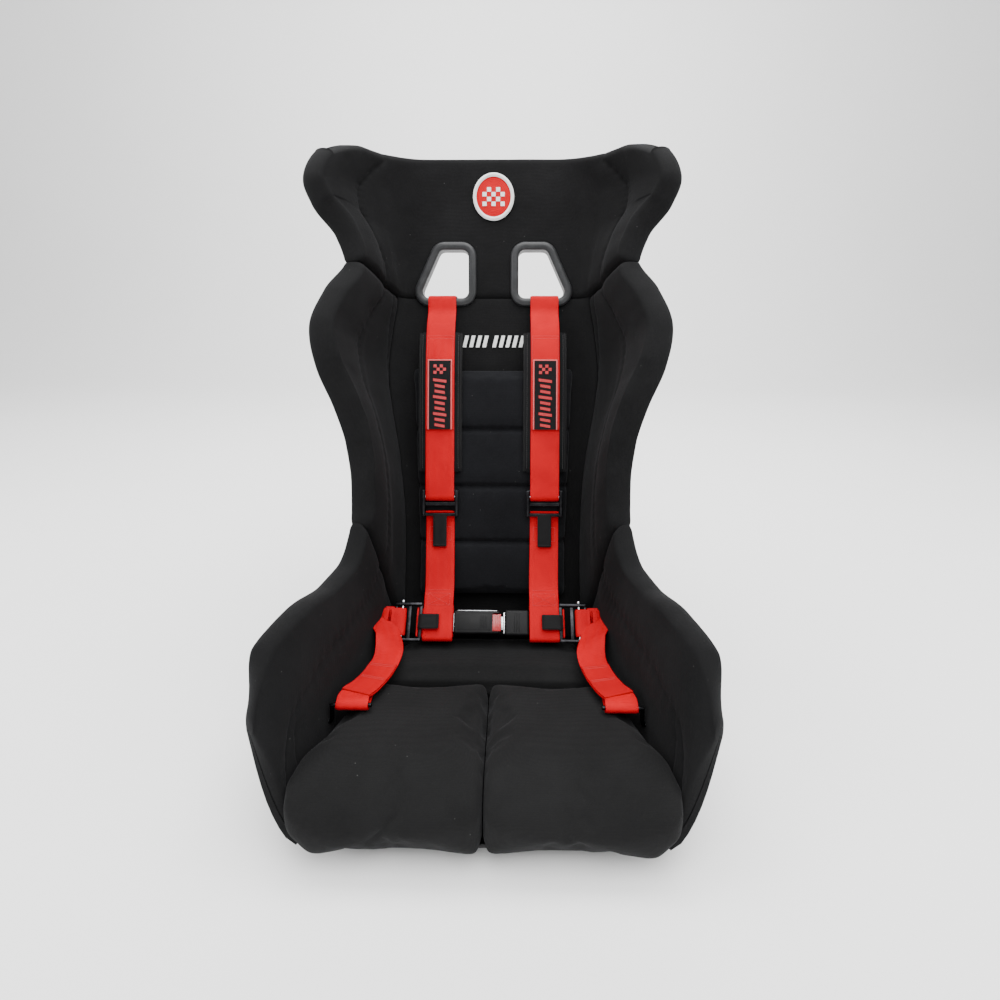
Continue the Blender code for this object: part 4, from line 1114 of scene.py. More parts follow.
def side_band(points, width=WEB_WIDTH, thickness=WEB_THICKNESS):
    """Webbing whose path stays in a plane across X."""
    return Band(points, path_normals(points, RIGHTWARDS), width, thickness)


def add_stitch(bm, band, start, end, look_index, lift):
    """One thread stitch lying on the band between two (run, aside) places."""
    radius = THREAD_RADIUS
    first, _, _, face = band.place(start[0], start[1], 0.0001 + lift)
    second = band.place(end[0], end[1], 0.0001 + lift)[0]
    line = (second - first).normalized()
    sideways = line.cross(face).normalized()
    rows = []
    for share, size in ((0.0, 0.35), (0.2, 0.9), (0.8, 0.9), (1.0, 0.35)):
        centre = first.lerp(second, share)
        arch = face * radius * size
        rows.append([centre - sideways * radius * size, centre - sideways * radius * 0.5 * size + arch,
                     centre + sideways * radius * 0.5 * size + arch, centre + sideways * radius * size])
    add_rows(bm, rows, look_index)


def add_stitch_line(bm, band, start, end, look_index=1, lift=0.0):
    """A row of stitches between two (run, aside) places, lifted where the webbing is doubled."""
    length = math.hypot(end[0] - start[0], end[1] - start[1])
    count = max(1, int(length / STITCH_PITCH))
    for k in range(count):
        a = k / count
        b = (k + 0.72) / count
        first, second = [(start[0] + (end[0] - start[0]) * t, start[1] + (end[1] - start[1]) * t)
                         for t in (a, b)]
        add_stitch(bm, band, first, second, look_index, lift)


def add_box_stitch(bm, band, low, high, inset=0.006, cross=True):
    """A sewn box across the webbing, with or without its diagonals."""
    half = band.width / 2 - inset
    corners = ((low, -half), (low, half), (high, half), (high, -half))
    for k in range(4):
        add_stitch_line(bm, band, corners[k], corners[(k + 1) % 4])
    if cross:
        add_stitch_line(bm, band, corners[0], corners[2])
        add_stitch_line(bm, band, corners[1], corners[3])


def band_mesh(name, band, looks, sew=None):
    """A band in one mesh with its stitching, which a function adds to it."""
    bm = bmesh.new()
    add_loft(bm, band.rings())
    if sew:
        sew(bm, band)
    return finish_bmesh(bm, name, looks, 60.0)


# ---------------------------------------------------------------- places on the harness
ADJUSTER_U = 8.5
ADJUSTER_OFF = 0.0540
ADJUSTER_LIFT = 0.0040


def back_rotation(u):
    """Axes for a piece lying on the back: X across, Y up the back, Z towards the driver."""
    climb = inner_point(u + 0.5, 0.0) - inner_point(u - 0.5, 0.0)
    return Matrix.Rotation(math.atan2(climb.z, climb.y), 3, "X")


def lap_rotation(side):
    """Axes for a lap adjuster: X along the webbing's width, Y outwards, Z towards the driver."""
    outward = RIGHTWARDS * side
    face = LAP_TURN @ UPWARDS
    return Matrix((outward.cross(face), outward, face)).transposed()


def lap_point(x, width, normal):
    """A place on the lap belt's middle part, in the directions of its own plane."""
    return LAP_CENTRE + LAP_TURN @ Vector((x, width, normal))


def local(centre, rotation, y, z):
    """A place in an adjuster's own middle plane."""
    return centre + rotation @ Vector((0.0, y, z))


def wrap_over_bar(centre, rotation):
    """The end of the webbing that comes in over the frame and turns round the bar."""
    turns = ((0.024, 0.0052), (0.008, 0.0056), (-0.0010, 0.0052), (-0.0056, 0.0018),
             (-0.0054, -0.0022), (-0.0015, -0.0054))
    return [local(centre, rotation, y, z) for y, z in turns]


def hook_under_frame(centre, rotation):
    """The end of the webbing that turns round the frame's far bar from below."""
    turns = ((-0.0268, 0.0020), (-0.0262, -0.0010), (-0.0285, -0.0040), (-0.0360, -0.0048))
    return [local(centre, rotation, y, z) for y, z in turns]


# ---------------------------------------------------------------- shoulder harness
def shoulder_strap_upper(side, word):
    x = side * STRAP_X
    points = [on_back(x, 9.9, -0.0085), on_back(x, 11.4, -0.0085), in_slot(x, -0.085, -0.0095),
              in_slot(x, -0.064, -0.0130), in_slot(x, -0.0450, -0.0140), in_slot(x, -0.0400, -0.0125),
              in_slot(x, -0.0390, 0.0), in_slot(x, -0.0400, 0.0200), in_slot(x, -0.0440, 0.0235),
              in_slot(x, -0.0520, 0.0240), in_slot(x, -0.0700, 0.0260), on_back(x, 12.2, 0.0400),
              on_back(x, 11.7, 0.0485), on_back(x, 11.2, 0.0540), on_back(x, 10.4, 0.0560),
              on_back(x, 9.6, 0.0575)]
    points += wrap_over_bar(on_back(x, ADJUSTER_U, ADJUSTER_OFF), back_rotation(ADJUSTER_U))
    band = side_band(points)
    return band_mesh("shoulder_strap_upper_red_" + word, band, [RED_WEB, RED_THREAD])


def pad_rings(band, swell):
    """Cross sections of a soft pad: full in the middle, thin and rounded at its edges."""
    rings = []
    last = band.lengths[-1]
    for point, (_, across, face), run in zip(band.path, band.frames, band.lengths):
        fullness = math.sin(math.pi / 2 * min(1.0, min(run, last - run) / 0.010))
        shrink = 0.86 + 0.14 * fullness
        top = []
        bottom = []
        for k in range(21):
            s = -1.0 + k / 10.0
            rounded = max(0.0, 1.0 - abs(s) ** 5) ** 0.5
            thick = band.thickness / 2 * (0.25 + 0.75 * rounded) * (0.45 + 0.55 * fullness)
            spot = point + across * (s * band.width / 2 * shrink)
            lift = swell * rounded * fullness + 0.0006 * noise.noise(spot * 70.0)
            top.append(spot + face * (thick + lift))
            bottom.append(spot - face * thick)
        rings.append(top + list(reversed(bottom)))
    return rings


def add_bound_edge(bm, band, look_index):
    """The bound tape round a pad's edge, as a fat rolled border."""
    half = band.width / 2 - 0.0015
    for sign in (1, -1):
        path = [point + across * sign * half
                for point, (_, across, _) in zip(band.path[1:-1], band.frames[1:-1])]
        path = path[::2] + path[-1:]
        add_tube(bm, path, [0.0026] * len(path), 10, look_index)


def shoulder_pad(side, word):
    x = side * STRAP_X
    points = [on_back(x, 12.05, 0.0375), on_back(x, 11.7, 0.0440), on_back(x, 11.2, 0.0492),
              on_back(x, 10.4, 0.0510), on_back(x, 9.6, 0.0520), on_back(x, 8.95, 0.0500)]
    band = side_band(points, 0.074, 0.0062)
    bm = bmesh.new()
    add_loft(bm, pad_rings(band, 0.0005))
    add_bound_edge(bm, band, 1)
    for aside in (0.0315, -0.0315):
        add_stitch_line(bm, band, (0.006, aside), (band.lengths[-1] - 0.006, aside), 2)
    return finish_bmesh(bm, "shoulder_pad_foam_" + word, [PAD_CLOTH, BLACK_WEB, BLACK_THREAD], 60.0)


PATCH_START = 0.048
PATCH_END = 0.198
PATCH_HALF = 0.0205
LABEL_LIFT = 0.0011
LABEL_THREAD = 0.0006
LABEL_CELL = 0.0055
SATIN_PITCH = 0.0011
DOUBLED_LIFT = 0.0019


def add_plate(bm, band, corners, look_index):
    """A thin flat shape on the band's face, given as (run, aside) corners."""
    levels = (LABEL_LIFT, LABEL_LIFT + LABEL_THREAD)
    add_rows(bm, [[band.place(run, aside, level)[0] for run, aside in corners] for level in levels],
             look_index)


def add_patch(bm, band):
    """The sewn label: black cloth, a pale red border and plain slanted bars in place of a name."""
    add_slab(bm, band, PATCH_START, PATCH_END, PATCH_HALF, 0.0002, 0.0009, 2)
    edge = PATCH_HALF - 0.0004
    corners = ((PATCH_START, -edge), (PATCH_START, edge), (PATCH_END, edge), (PATCH_END, -edge))
    for k in range(4):
        add_border(bm, band, corners[k], corners[(k + 1) % 4], 3)
    for number in range(9):
        run = PATCH_START + 0.0320 + number * 0.0098
        width = 0.0088 if number % 3 else 0.0115
        add_plate(bm, band, ((run, -width), (run + 0.0048, -width),
                             (run + 0.0078, width), (run + 0.0030, width)), 4)
    for column in range(4):
        for line in range(3):
            if (column + line) % 2 == 0:
                run = PATCH_START + 0.0080 + line * LABEL_CELL
                aside = (column - 2) * LABEL_CELL
                far = aside + LABEL_CELL - 0.0003
                ahead = run + LABEL_CELL - 0.0003
                add_plate(bm, band, ((run, aside), (ahead, aside), (ahead, far), (run, far)), 4)


def add_slab(bm, band, start, end, half, low, high, look_index):
    """A thin rectangular layer that follows the band."""
    rings = []
    for run in spaced(start, end, 0.004):
        lower = [band.place(run, aside, low)[0] for aside in (-half, half)]
        upper = [band.place(run, aside, high)[0] for aside in (half, -half)]
        rings.append(lower + upper)
    add_loft(bm, rings, look_index)


def add_border(bm, band, start, end, look_index):
    """An embroidered border: close satin stitches across a line."""
    length = math.hypot(end[0] - start[0], end[1] - start[1])
    count = int(length / SATIN_PITCH)
    step = ((end[0] - start[0]) / length, (end[1] - start[1]) / length)
    for k in range(count + 1):
        run = start[0] + step[0] * length * k / count
        aside = start[1] + step[1] * length * k / count
        near = (run - step[1] * SATIN_PITCH, aside + step[0] * SATIN_PITCH)
        far = (run + step[1] * SATIN_PITCH, aside - step[0] * SATIN_PITCH)
        add_raised_stitch(bm, band, near, far, look_index)


def add_raised_stitch(bm, band, start, end, look_index):
    """One satin stitch, highest in its middle."""
    first, _, _, face = band.place(start[0], start[1], 0.0009)
    second = band.place(end[0], end[1], 0.0009)[0]
    line = (second - first).normalized()
    sideways = line.cross(face).normalized() * 0.00055
    rows = []
    for share, rise in ((0.0, 0.0), (0.5, 0.0006), (1.0, 0.0)):
        centre = first.lerp(second, share) + face * rise
        crown = centre + face * 0.0003
        rows.append([centre - sideways, centre + sideways, crown + sideways * 0.5, crown - sideways * 0.5])
    add_rows(bm, rows, look_index)


def pad_sleeve(side, word):
    """The red webbing sewn on the pad over the strap, with its label."""
    x = side * STRAP_X
    points = [on_back(x, 12.00, 0.0465), on_back(x, 11.7, 0.0515), on_back(x, 11.2, 0.0570),
              on_back(x, 10.4, 0.0590), on_back(x, 9.80, 0.0602)]
    band = side_band(points, 0.0495, 0.0022)

    def sew(bm, on):
        end = on.lengths[-1]
        add_patch(bm, on)
        add_box_stitch(bm, on, end - 0.026, end - 0.005)
        for aside in (-0.0225, 0.0225):
            add_stitch_line(bm, on, (0.004, aside), (end - 0.004, aside))
        add_stitch_line(bm, on, (0.004, -0.0225), (0.004, 0.0225))
        add_stitch_line(bm, on, (0.009, -0.0225), (0.009, 0.0225))

    looks = [RED_WEB, RED_THREAD, PAD_CLOTH, PINK_THREAD, RED_THREAD]
    return band_mesh("pad_sleeve_red_" + word, band, looks, sew)


def shoulder_strap_lower(side, word):
    centre = on_back(side * STRAP_X, ADJUSTER_U, ADJUSTER_OFF)
    rotation = back_rotation(ADJUSTER_U)
    x = side * LOOP_X
    points = hook_under_frame(centre, rotation) + [local(centre, rotation, -0.0600, -0.0050)]
    points += [lap_point(x, width, normal) for width, normal in
               ((0.0700, 0.0070), (0.0400, 0.0062), (0.0280, 0.0055), (0.0, 0.0050), (-0.0260, 0.0046),
                (-0.0295, 0.0), (-0.0260, -0.0046), (0.0, -0.0050), (0.0300, -0.0050))]
    band = side_band(points)

    def sew(bm, on):
        loop = on.run_near(lap_point(x, 0.0280, 0.0055))
        add_box_stitch(bm, on, loop - 0.020, loop)
        add_stitch_line(bm, on, (loop - 0.026, -0.019), (loop - 0.026, 0.019))
        top = on.run_near(local(centre, rotation, -0.0450, -0.0049))
        add_box_stitch(bm, on, top + 0.010, top + 0.034, cross=False)

    return band_mesh("shoulder_strap_lower_red_" + word, band, [RED_WEB, RED_THREAD], sew)


# ---------------------------------------------------------------- adjusters
def placed(centre, rotation):
    return Matrix.Translation(centre) @ rotation.to_4x4()


def adjuster_frame(name, centre, rotation):
    """Two raised cheeks joined by three cross bars, in black plated steel."""
    bm = bmesh.new()
    matrix = placed(centre, rotation)
    for sign in (1, -1):
        add_rounded_box(bm, (0.0055, 0.0460, 0.0078), (sign * 0.0292, -0.011, 0.0010), 0.0016, matrix)
    for y, depth, rise in ((0.0105, 0.0032, 0.0), (-0.0125, 0.0060, 0.0), (-0.0315, 0.0052, 0.0002)):
        add_rounded_box(bm, (0.0560, depth, 0.0030), (0.0, y, rise), 0.0008, matrix)
    return finish_bmesh(bm, name, [BLACKENED], 40.0)


def knurled_bar(name, centre, rotation, ball_ends):
    """The bar that the webbing turns round, with a knurled middle."""
    bm = bmesh.new()
    ends = 0.0330 if ball_ends else 0.0262
    steps = [(-ends, 0.0012), (-ends + 0.0006, 0.0026)]
    if ball_ends:
        steps = [(-ends - 0.0034, 0.0012), (-ends - 0.0028, 0.0032), (-ends, 0.0040),
                 (-ends + 0.0028, 0.0032), (-ends + 0.0034, 0.0024)]
    count = 30
    knurl = [(-0.0225 + 0.045 * k / count, (0.0029, 0.0025) if k % 2 else (0.0025, 0.0029))
             for k in range(count + 1)]
    profile = steps + [(-0.0232, 0.0026)] + knurl + [(0.0232, 0.0026)]
    profile += [(-x, radius) for x, radius in reversed(steps)]
    matrix = placed(centre, rotation)
    path = [matrix @ Vector((x, 0.0, 0.0)) for x, _ in profile]
    add_tube(bm, path, [radius for _, radius in profile], 28)
    return finish_bmesh(bm, name, [BRIGHT_STEEL], 30.0)


def pull_tab(name, centre, rotation, path):
    """A doubled black tab with a rolled end and cross stitching."""
    points = [local(centre, rotation, y, z) for y, z in path]
    normals = path_normals(points, -(rotation @ RIGHTWARDS))
    band = Band(points, normals, 0.024, 0.0030, 0.002)

    def sew(bm, on):
        end = on.lengths[-1]
        half = 0.0085
        for aside in (-half, half):
            add_stitch_line(bm, on, (0.012, aside), (end - 0.004, aside))
        add_stitch_line(bm, on, (end - 0.010, -half), (end - 0.010, half))
        spot, _, sideways, _ = on.place(end, 0.0, -0.0016)
        roll = [spot + sideways * aside for aside in (-0.0118, -0.0112, 0.0112, 0.0118)]
        add_tube(bm, roll, [0.0010, 0.0022, 0.0022, 0.0010], 14)

    return band_mesh(name, band, [BLACK_WEB, BLACK_THREAD], sew)


SHOULDER_TAB = ((-0.0300, 0.0036), (-0.0370, 0.0040), (-0.0600, 0.0050), (-0.0850, 0.0060))
LAP_TAB = ((-0.0290, 0.0034), (-0.0300, 0.0044), (-0.0350, 0.0088), (-0.0620, 0.0092))


def adjuster(prefix, word, centre, rotation, tab):
    body = f"{prefix}_adjuster_{word}"
    on_body(adjuster_frame(body + "_cheeks", centre, rotation), body,
            [prefix + "_adjuster_frame_" + word])
    on_body(knurled_bar(body + "_knurl", centre, rotation, prefix == "lap"), body,
            [prefix + "_adjuster_bar_" + word])
    on_body(pull_tab(body + "_tab", centre, rotation, tab), body, [prefix + "_pull_tab_" + word])


# ---------------------------------------------------------------- lap belt
def folded_belt(side):
    """The lap adjuster's place, and the belt's points and face directions round its bar."""
    centre = lap_point(side * LAP_ADJUSTER_X[side], 0.0, ADJUSTER_LIFT)
    rotation = lap_rotation(side)
    points = wrap_over_bar(centre, rotation)
    points[0] = local(centre, rotation, 0.0140, 0.0050)
    points.reverse()
    return centre, rotation, points, path_normals(points, rotation @ RIGHTWARDS)


def lap_belt(side, word):
    """Out from the adjuster, folded over, and down across the cushion to the anchor."""
    centre, rotation, points, normals = folded_belt(side)
    face = rotation @ UPWARDS
    up = UPWARDS
    lean = Vector((-0.45 * side, 0.0, 1.0)).normalized()
    points += [local(centre, rotation, 0.0260, 0.0060), local(centre, rotation, 0.0340, 0.0035)]
    normals += [face, (face + RIGHTWARDS * side * 0.8).normalized()]
    first = Band(points, normals, LAP_WIDTH, WEB_THICKNESS)
    out = local(centre, rotation, 0.0320, 0.0040)
    down = [out + Vector((side * 0.004, 0.020, 0.016)), out + Vector((side * 0.002, 0.006, 0.005))]
    over_cushion = ((0.168, 0.000, 0.120), (0.160, -0.040, 0.1125), LAP_OVERLAP,
                    (0.174, -0.125, 0.1210), LAP_LOOP)
    down += [Vector((side * x, y, z)) for x, y, z in over_cushion]
    round_anchor = ((0.0, ANCHOR_LOOP), (-ANCHOR_LOOP, 0.0), (0.0, -ANCHOR_LOOP),
                    (0.0120, -0.0045), (0.0320, -0.0040))
    down += [Vector((side * ANCHOR_X, ANCHOR_Y + y, ANCHOR_Z + z)) for y, z in round_anchor]
    tilt = [(face + lean * 0.4).normalized(), (face + lean * 0.6).normalized(), lean, up, up, up, up,
            Vector((0.0, -0.5, 1.0)), Vector((0.0, -1.0, 0.0)), -up, -up, -up]
    second = Band(down, tilt, LAP_WIDTH, WEB_THICKNESS)
    bm = bmesh.new()
    add_loft(bm, first.rings())
    add_loft(bm, second.rings())
    overlap = second.run_near(down[4])
    add_box_stitch(bm, second, overlap - 0.014, overlap + 0.014)
    near_loop = second.run_near(down[6])
    add_box_stitch(bm, second, near_loop - 0.018, near_loop - 0.004, cross=False)
    half = LAP_WIDTH / 2 - 0.0006
    add_slab(bm, second, overlap - 0.019, near_loop - 0.001, half, 0.0002, DOUBLED_LIFT, 0)
    for offset in (-0.015, -0.011, 0.020, 0.024):
        run = overlap + offset
        add_stitch_line(bm, second, (run, -0.018), (run, 0.018), lift=DOUBLED_LIFT)
    return finish_bmesh(bm, "lap_belt_" + word, [RED_WEB, RED_THREAD], 60.0)


def lap_web(name, side, inner_x):
    """Short webbing from round the lap adjuster's frame to the buckle or the tongue's cover."""
    centre = lap_point(side * LAP_ADJUSTER_X[side], 0.0, ADJUSTER_LIFT)
    rotation = lap_rotation(side)
    points = hook_under_frame(centre, rotation)
    points += [local(centre, rotation, -0.0450, -0.0044), lap_point(side * inner_x, 0.0, 0.0)]
    normals = path_normals(points, -(rotation @ RIGHTWARDS))
    band = Band(points, normals, WEB_WIDTH - 0.003, WEB_THICKNESS)

    def sew(bm, on):
        end = on.lengths[-1]
        add_box_stitch(bm, on, end - 0.024, end - 0.006, cross=False)

    return band_mesh(name, band, [RED_WEB, RED_THREAD], sew)


# ---------------------------------------------------------------- buckle
LAP_PLACE = placed(LAP_CENTRE, LAP_TURN)
HOUSING_LENGTH = HOUSING_RIGHT - HOUSING_LEFT
HOUSING_MIDDLE = (HOUSING_RIGHT + HOUSING_LEFT) / 2


def buckle_part(name, look, boxes, segments=3):
    """One part of the buckle from rounded boxes, each with its size, centre and edge radius."""
    bm = bmesh.new()
    for size, centre, radius in boxes:
        add_rounded_box(bm, size, centre, radius, LAP_PLACE, segments=segments)
    return finish_bmesh(bm, name, [look], 40.0)


def buckle_cover():
    """The moulded housing, hollow for the tongue and open over the button."""
    housing = buckle_part("buckle_cover", BLACK_PLASTIC,
                          [((HOUSING_LENGTH, BUCKLE_WIDTH, 0.0200), (HOUSING_MIDDLE, 0.0, 0.0), 0.0036)], 5)
    hollows = (((0.050, 0.030, 0.0130), (HOUSING_RIGHT - 0.020, 0.0, 0.0), 0.0004),
               ((0.0250, 0.0300, 0.0100), (HOUSING_RIGHT, 0.0, 0.0110), 0.0004))
    cut_by(housing, [buckle_part("cutter", BLACK_PLASTIC, [hollow], 1) for hollow in hollows])
    housing.data.shade_smooth()
    housing.data.set_sharp_from_angle(angle=math.radians(40.0))
    on_body(housing, "seat", ["buckle_housing"])


def buckle_trim():
    """The raised panel on the housing, and the steel plate that shows at its edges."""
    end = HOUSING_RIGHT - 0.0150
    start = HOUSING_LEFT + 0.0060
    boxes = [((end - start, 0.0270, 0.0012), ((end + start) / 2, 0.0, 0.0101), 0.0005)]
    boxes += [((0.0014, 0.0200, 0.0010), (end - 0.008 - number * 0.0032, 0.0, 0.0108), 0.0004)
              for number in range(4)]
    on_body(buckle_part("buckle_panel", BLACK_PLASTIC, boxes), "seat", ())
    side_y = BUCKLE_WIDTH / 2 + 0.0004
    edges = [((HOUSING_LENGTH - 0.0100, 0.0016, 0.0090), (HOUSING_MIDDLE, side_y, 0.0), 0.0005),
             ((0.0016, 0.0300, 0.0060), (HOUSING_LEFT - 0.0004, 0.0, 0.0), 0.0005)]
    on_body(buckle_part("buckle_plate_edge", BRIGHT_STEEL, edges), "seat", ())


def press_button():
    boxes = [((0.0230, 0.0285, 0.0052), (HOUSING_RIGHT - 0.0095, 0.0, 0.0034), 0.0012)]
    boxes += [((0.0012, 0.0220, 0.0010), (HOUSING_RIGHT - 0.0070 + number * 0.0030, 0.0, 0.0061), 0.0004)
              for number in range(3)]
    on_body(buckle_part("press_button", RED_PLASTIC, boxes), "buckle_button", ["buckle_button"])


def tongue():
    """The tongue's ribbed plastic grip, and its steel blade with a stop at the housing."""
    middle = (COVER_LEFT + COVER_RIGHT) / 2
    bm = bmesh.new()
    add_rounded_box(bm, (COVER_RIGHT - COVER_LEFT, 0.0420, 0.0170), (middle, 0.0, 0.0), 0.0040,
                    LAP_PLACE, segments=5)
    for number in range(3):
        add_rounded_box(bm, (0.0016, 0.0300, 0.0012), (middle - 0.004 + number * 0.0040, 0.0, 0.0086),
                        0.0005, LAP_PLACE)
    on_body(finish_bmesh(bm, "tongue_grip", [BLACK_PLASTIC], 40.0), "tongue", ["tongue_cover"])
    root = COVER_LEFT + 0.0260
    tip = HOUSING_RIGHT - 0.0120
    blade = [((root - tip, 0.0220, 0.0025), ((root + tip) / 2, 0.0, -0.0045), 0.0008),
             ((0.0040, 0.0350, 0.0050), (COVER_LEFT - 0.0010, 0.0, -0.0020), 0.0012)]
    on_body(buckle_part("tongue_steel", BRIGHT_STEEL, blade), "tongue", ["tongue_plate"])


# ---------------------------------------------------------------- head section trim
def patch_point(angle, share, off):
    """A place on the oval patch of the head section."""
    origin, right, up, outward = slot_frame(1)
    height = (STATIONS[16][1] - SLOT_CENTRE_Z) / up.z + EMBLEM_HALF_HEIGHT * share * math.sin(angle)
    across = EMBLEM_HALF_WIDTH * share * math.cos(angle)
    return origin + right * across + up * height + outward * (FOAM_HEAD_CENTRE + off)


def emblem():
    """An oval red patch with a white rim and a small white chequer."""
    bm = bmesh.new()
    steps = 64
    base = 0.0014
    disc = ((0.01, base), (0.88, base), (0.88, 0.0024), (0.44, 0.0032), (0.01, 0.0032))
    rim = ((0.84, base), (1.0, base), (1.0, 0.0038), (0.92, 0.0052), (0.84, 0.0038))
    for look_index, profile in enumerate((disc, rim)):
        angles = [2 * math.pi * k / steps for k in range(steps + 1)]
        rings = [[patch_point(angle, share, off) for share, off in profile] for angle in angles]
        add_loft(bm, rings, look_index, caps=False)
    add_chequer(bm)
    bmesh.ops.remove_doubles(bm, verts=bm.verts, dist=MERGE_DISTANCE)
    return finish_bmesh(bm, "head_patch", [RED_WEB, WHITE_THREAD], 40.0)


def oval_place(x, y, off):
    return patch_point(math.atan2(y, x), math.hypot(x, y), off)


def add_chequer(bm):
    """A small raised chequer; places are shares of the patch's half sizes."""
    columns, lines = 5, 4
    width, height = 0.22, 0.20
    for column in range(columns):
        for line in range(lines):
            if (column + line) % 2:
                continue
            left = (column - columns / 2) * width + 0.01
            low = (line - lines / 2) * height + 0.01
            right = left + width - 0.02
            high = low + height - 0.02
            outline = ((left, low), (right, low), (right, high), (left, high))
            add_rows(bm, [[oval_place(x, y, off) for x, y in outline] for off in (0.0028, 0.0040)], 1)


CHEST_BARS = (-0.056, -0.044, -0.032, -0.020, -0.002, 0.010, 0.022, 0.034, 0.046)
CHEST_BAR_WIDTH = 0.0065
CHEST_BAR_SLANT = 0.0050
CHEST_BAR_LOW = 11.74
CHEST_BAR_HIGH = 12.03


def chest_bars():
    """Plain slanted white bars where a name would be embroidered."""
    bm = bmesh.new()
    for x in CHEST_BARS:
        top = x + CHEST_BAR_SLANT
        corners = ((x, CHEST_BAR_LOW), (x + CHEST_BAR_WIDTH, CHEST_BAR_LOW),
                   (top + CHEST_BAR_WIDTH, CHEST_BAR_HIGH), (top, CHEST_BAR_HIGH))
        levels = (LINING_THICKNESS + 0.0002, LINING_THICKNESS + 0.0016)
        add_rows(bm, [[on_back(aside, u, off) for aside, u in corners] for off in levels])
    return finish_bmesh(bm, "chest_bars", [WHITE_THREAD], 40.0)


def front_bezel(side, word):
    """The slot's front frame: a satin plastic ring with a soft bevel."""
    face = LINING_THICKNESS + 0.0022
    sleeve_end = -SHELL_THICKNESS - 0.0010
    profile = [(0.0, sleeve_end), (BEZEL_WALL, sleeve_end), (BEZEL_WALL, face), (BEZEL_FLANGE, face),
               (BEZEL_FLANGE + 0.0003, face + 0.0012)]
    middle = BEZEL_FLANGE / 2
    for k in range(9):
        angle = math.radians(10 + 160 * k / 8)
        height = face + 0.0015 + 0.0045 * math.sin(angle) ** 0.8
        profile.append((middle + middle * math.cos(angle), height))
    profile.append((0.0, face + 0.0010))
    rings = [slot_ring(side, grow, off) for grow, off in profile]
    return closed_loft("bezel_front_" + word, rings, SLOT_PLASTIC)


def rear_bezel(side, word):
    """The slot's rear frame: a flat plastic ring against the shell's back."""
    back = -SHELL_THICKNESS - 0.0013
    edge = BEZEL_FLANGE - 0.002
    profile = [(0.0, back), (0.0, back - 0.0030), (0.0010, back - 0.0040), (edge - 0.0030, back - 0.0038),
               (edge - 0.0008, back - 0.0024), (edge, back - 0.0010), (edge, back)]
    rings = [slot_ring(side, grow, off) for grow, off in profile]
    return closed_loft("bezel_rear_" + word, rings, SLOT_PLASTIC)


# ---------------------------------------------------------------- steel fittings
def anchor_rod(side, word):
    """The bent rod that a lap belt is looped on, with its bolt end through the hip."""
    bolt_z = 0.095
    points = [(0.1565, ANCHOR_Z), (0.1575, ANCHOR_Z), (0.2080, ANCHOR_Z), (0.2115, ANCHOR_Z - 0.003),
              (0.2120, ANCHOR_Z - 0.010), (0.2125, bolt_z + 0.006), (0.2150, bolt_z + 0.001),
              (0.2200, bolt_z), (0.2640, bolt_z)]
    path = [Vector((side * x, ANCHOR_Y, z)) for x, z in points]
    fine = [path[0], path[1]] + smooth_path(path[1:], 0.002)[0][1:]
    bm = bmesh.new()
    add_tube(bm, fine, [0.0016] + [0.0030] * (len(fine) - 1), 20)
    return finish_bmesh(bm, "anchor_rod_" + word, [BLACKENED], 40.0)


def carry_over(node, look):
    """Give a CAD node that stays in view a finished material."""
    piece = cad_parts[node]
    piece.data.materials.clear()
    piece.data.materials.append(look)


# ---------------------------------------------------------------- build
def build_seat():
    on_body(shell_skin(), "seat", ["seat_shell"])
    on_body(head_cover(), "seat", ["head_pad"])
    on_body(lining_cover(), "seat", ["back_lining"])
    on_body(back_cushion(), "seat", ["back_cushion"])
    on_body(rear_cushion(), "seat", ["seat_cushion_rear"])
    on_body(emblem(), "seat", ["emblem"])
    on_body(chest_bars(), "seat", ())
    for side, word in SIDES:
        on_body(thigh_cushion(side, word), "seat", ["thigh_pad_" + word])
        hip = side_pad("hip_cover_" + word, side, 0.0, WAIST_SEAM, FOAM_HIP, HIP_SEAMS, True)
        on_body(hip, "seat", ["hip_bolster_" + word])
        shoulder = side_pad("shoulder_cover_" + word, side, WAIST_SEAM, NECK_SEAM, FOAM_SHOULDER,
                            SHOULDER_SEAMS)
        on_body(shoulder, "seat", ["shoulder_bolster_" + word])
        on_body(front_bezel(side, word), "seat", ["slot_bezel_front_" + word])
        on_body(rear_bezel(side, word), "seat", ["slot_bezel_rear_" + word])
        on_body(anchor_rod(side, word), "seat", ["lap_anchor_" + word])
        for place in ("front", "rear"):
            carry_over(f"mount_boss_{place}_{word}", BLACKENED)
        carry_over("lap_anchor_nut_" + word, BRIGHT_STEEL)
        carry_over("shoulder_anchor_" + word, BRIGHT_STEEL)
    carry_over("button_spring", BRIGHT_STEEL)
    carry_over("buckle_latch", BRIGHT_STEEL)


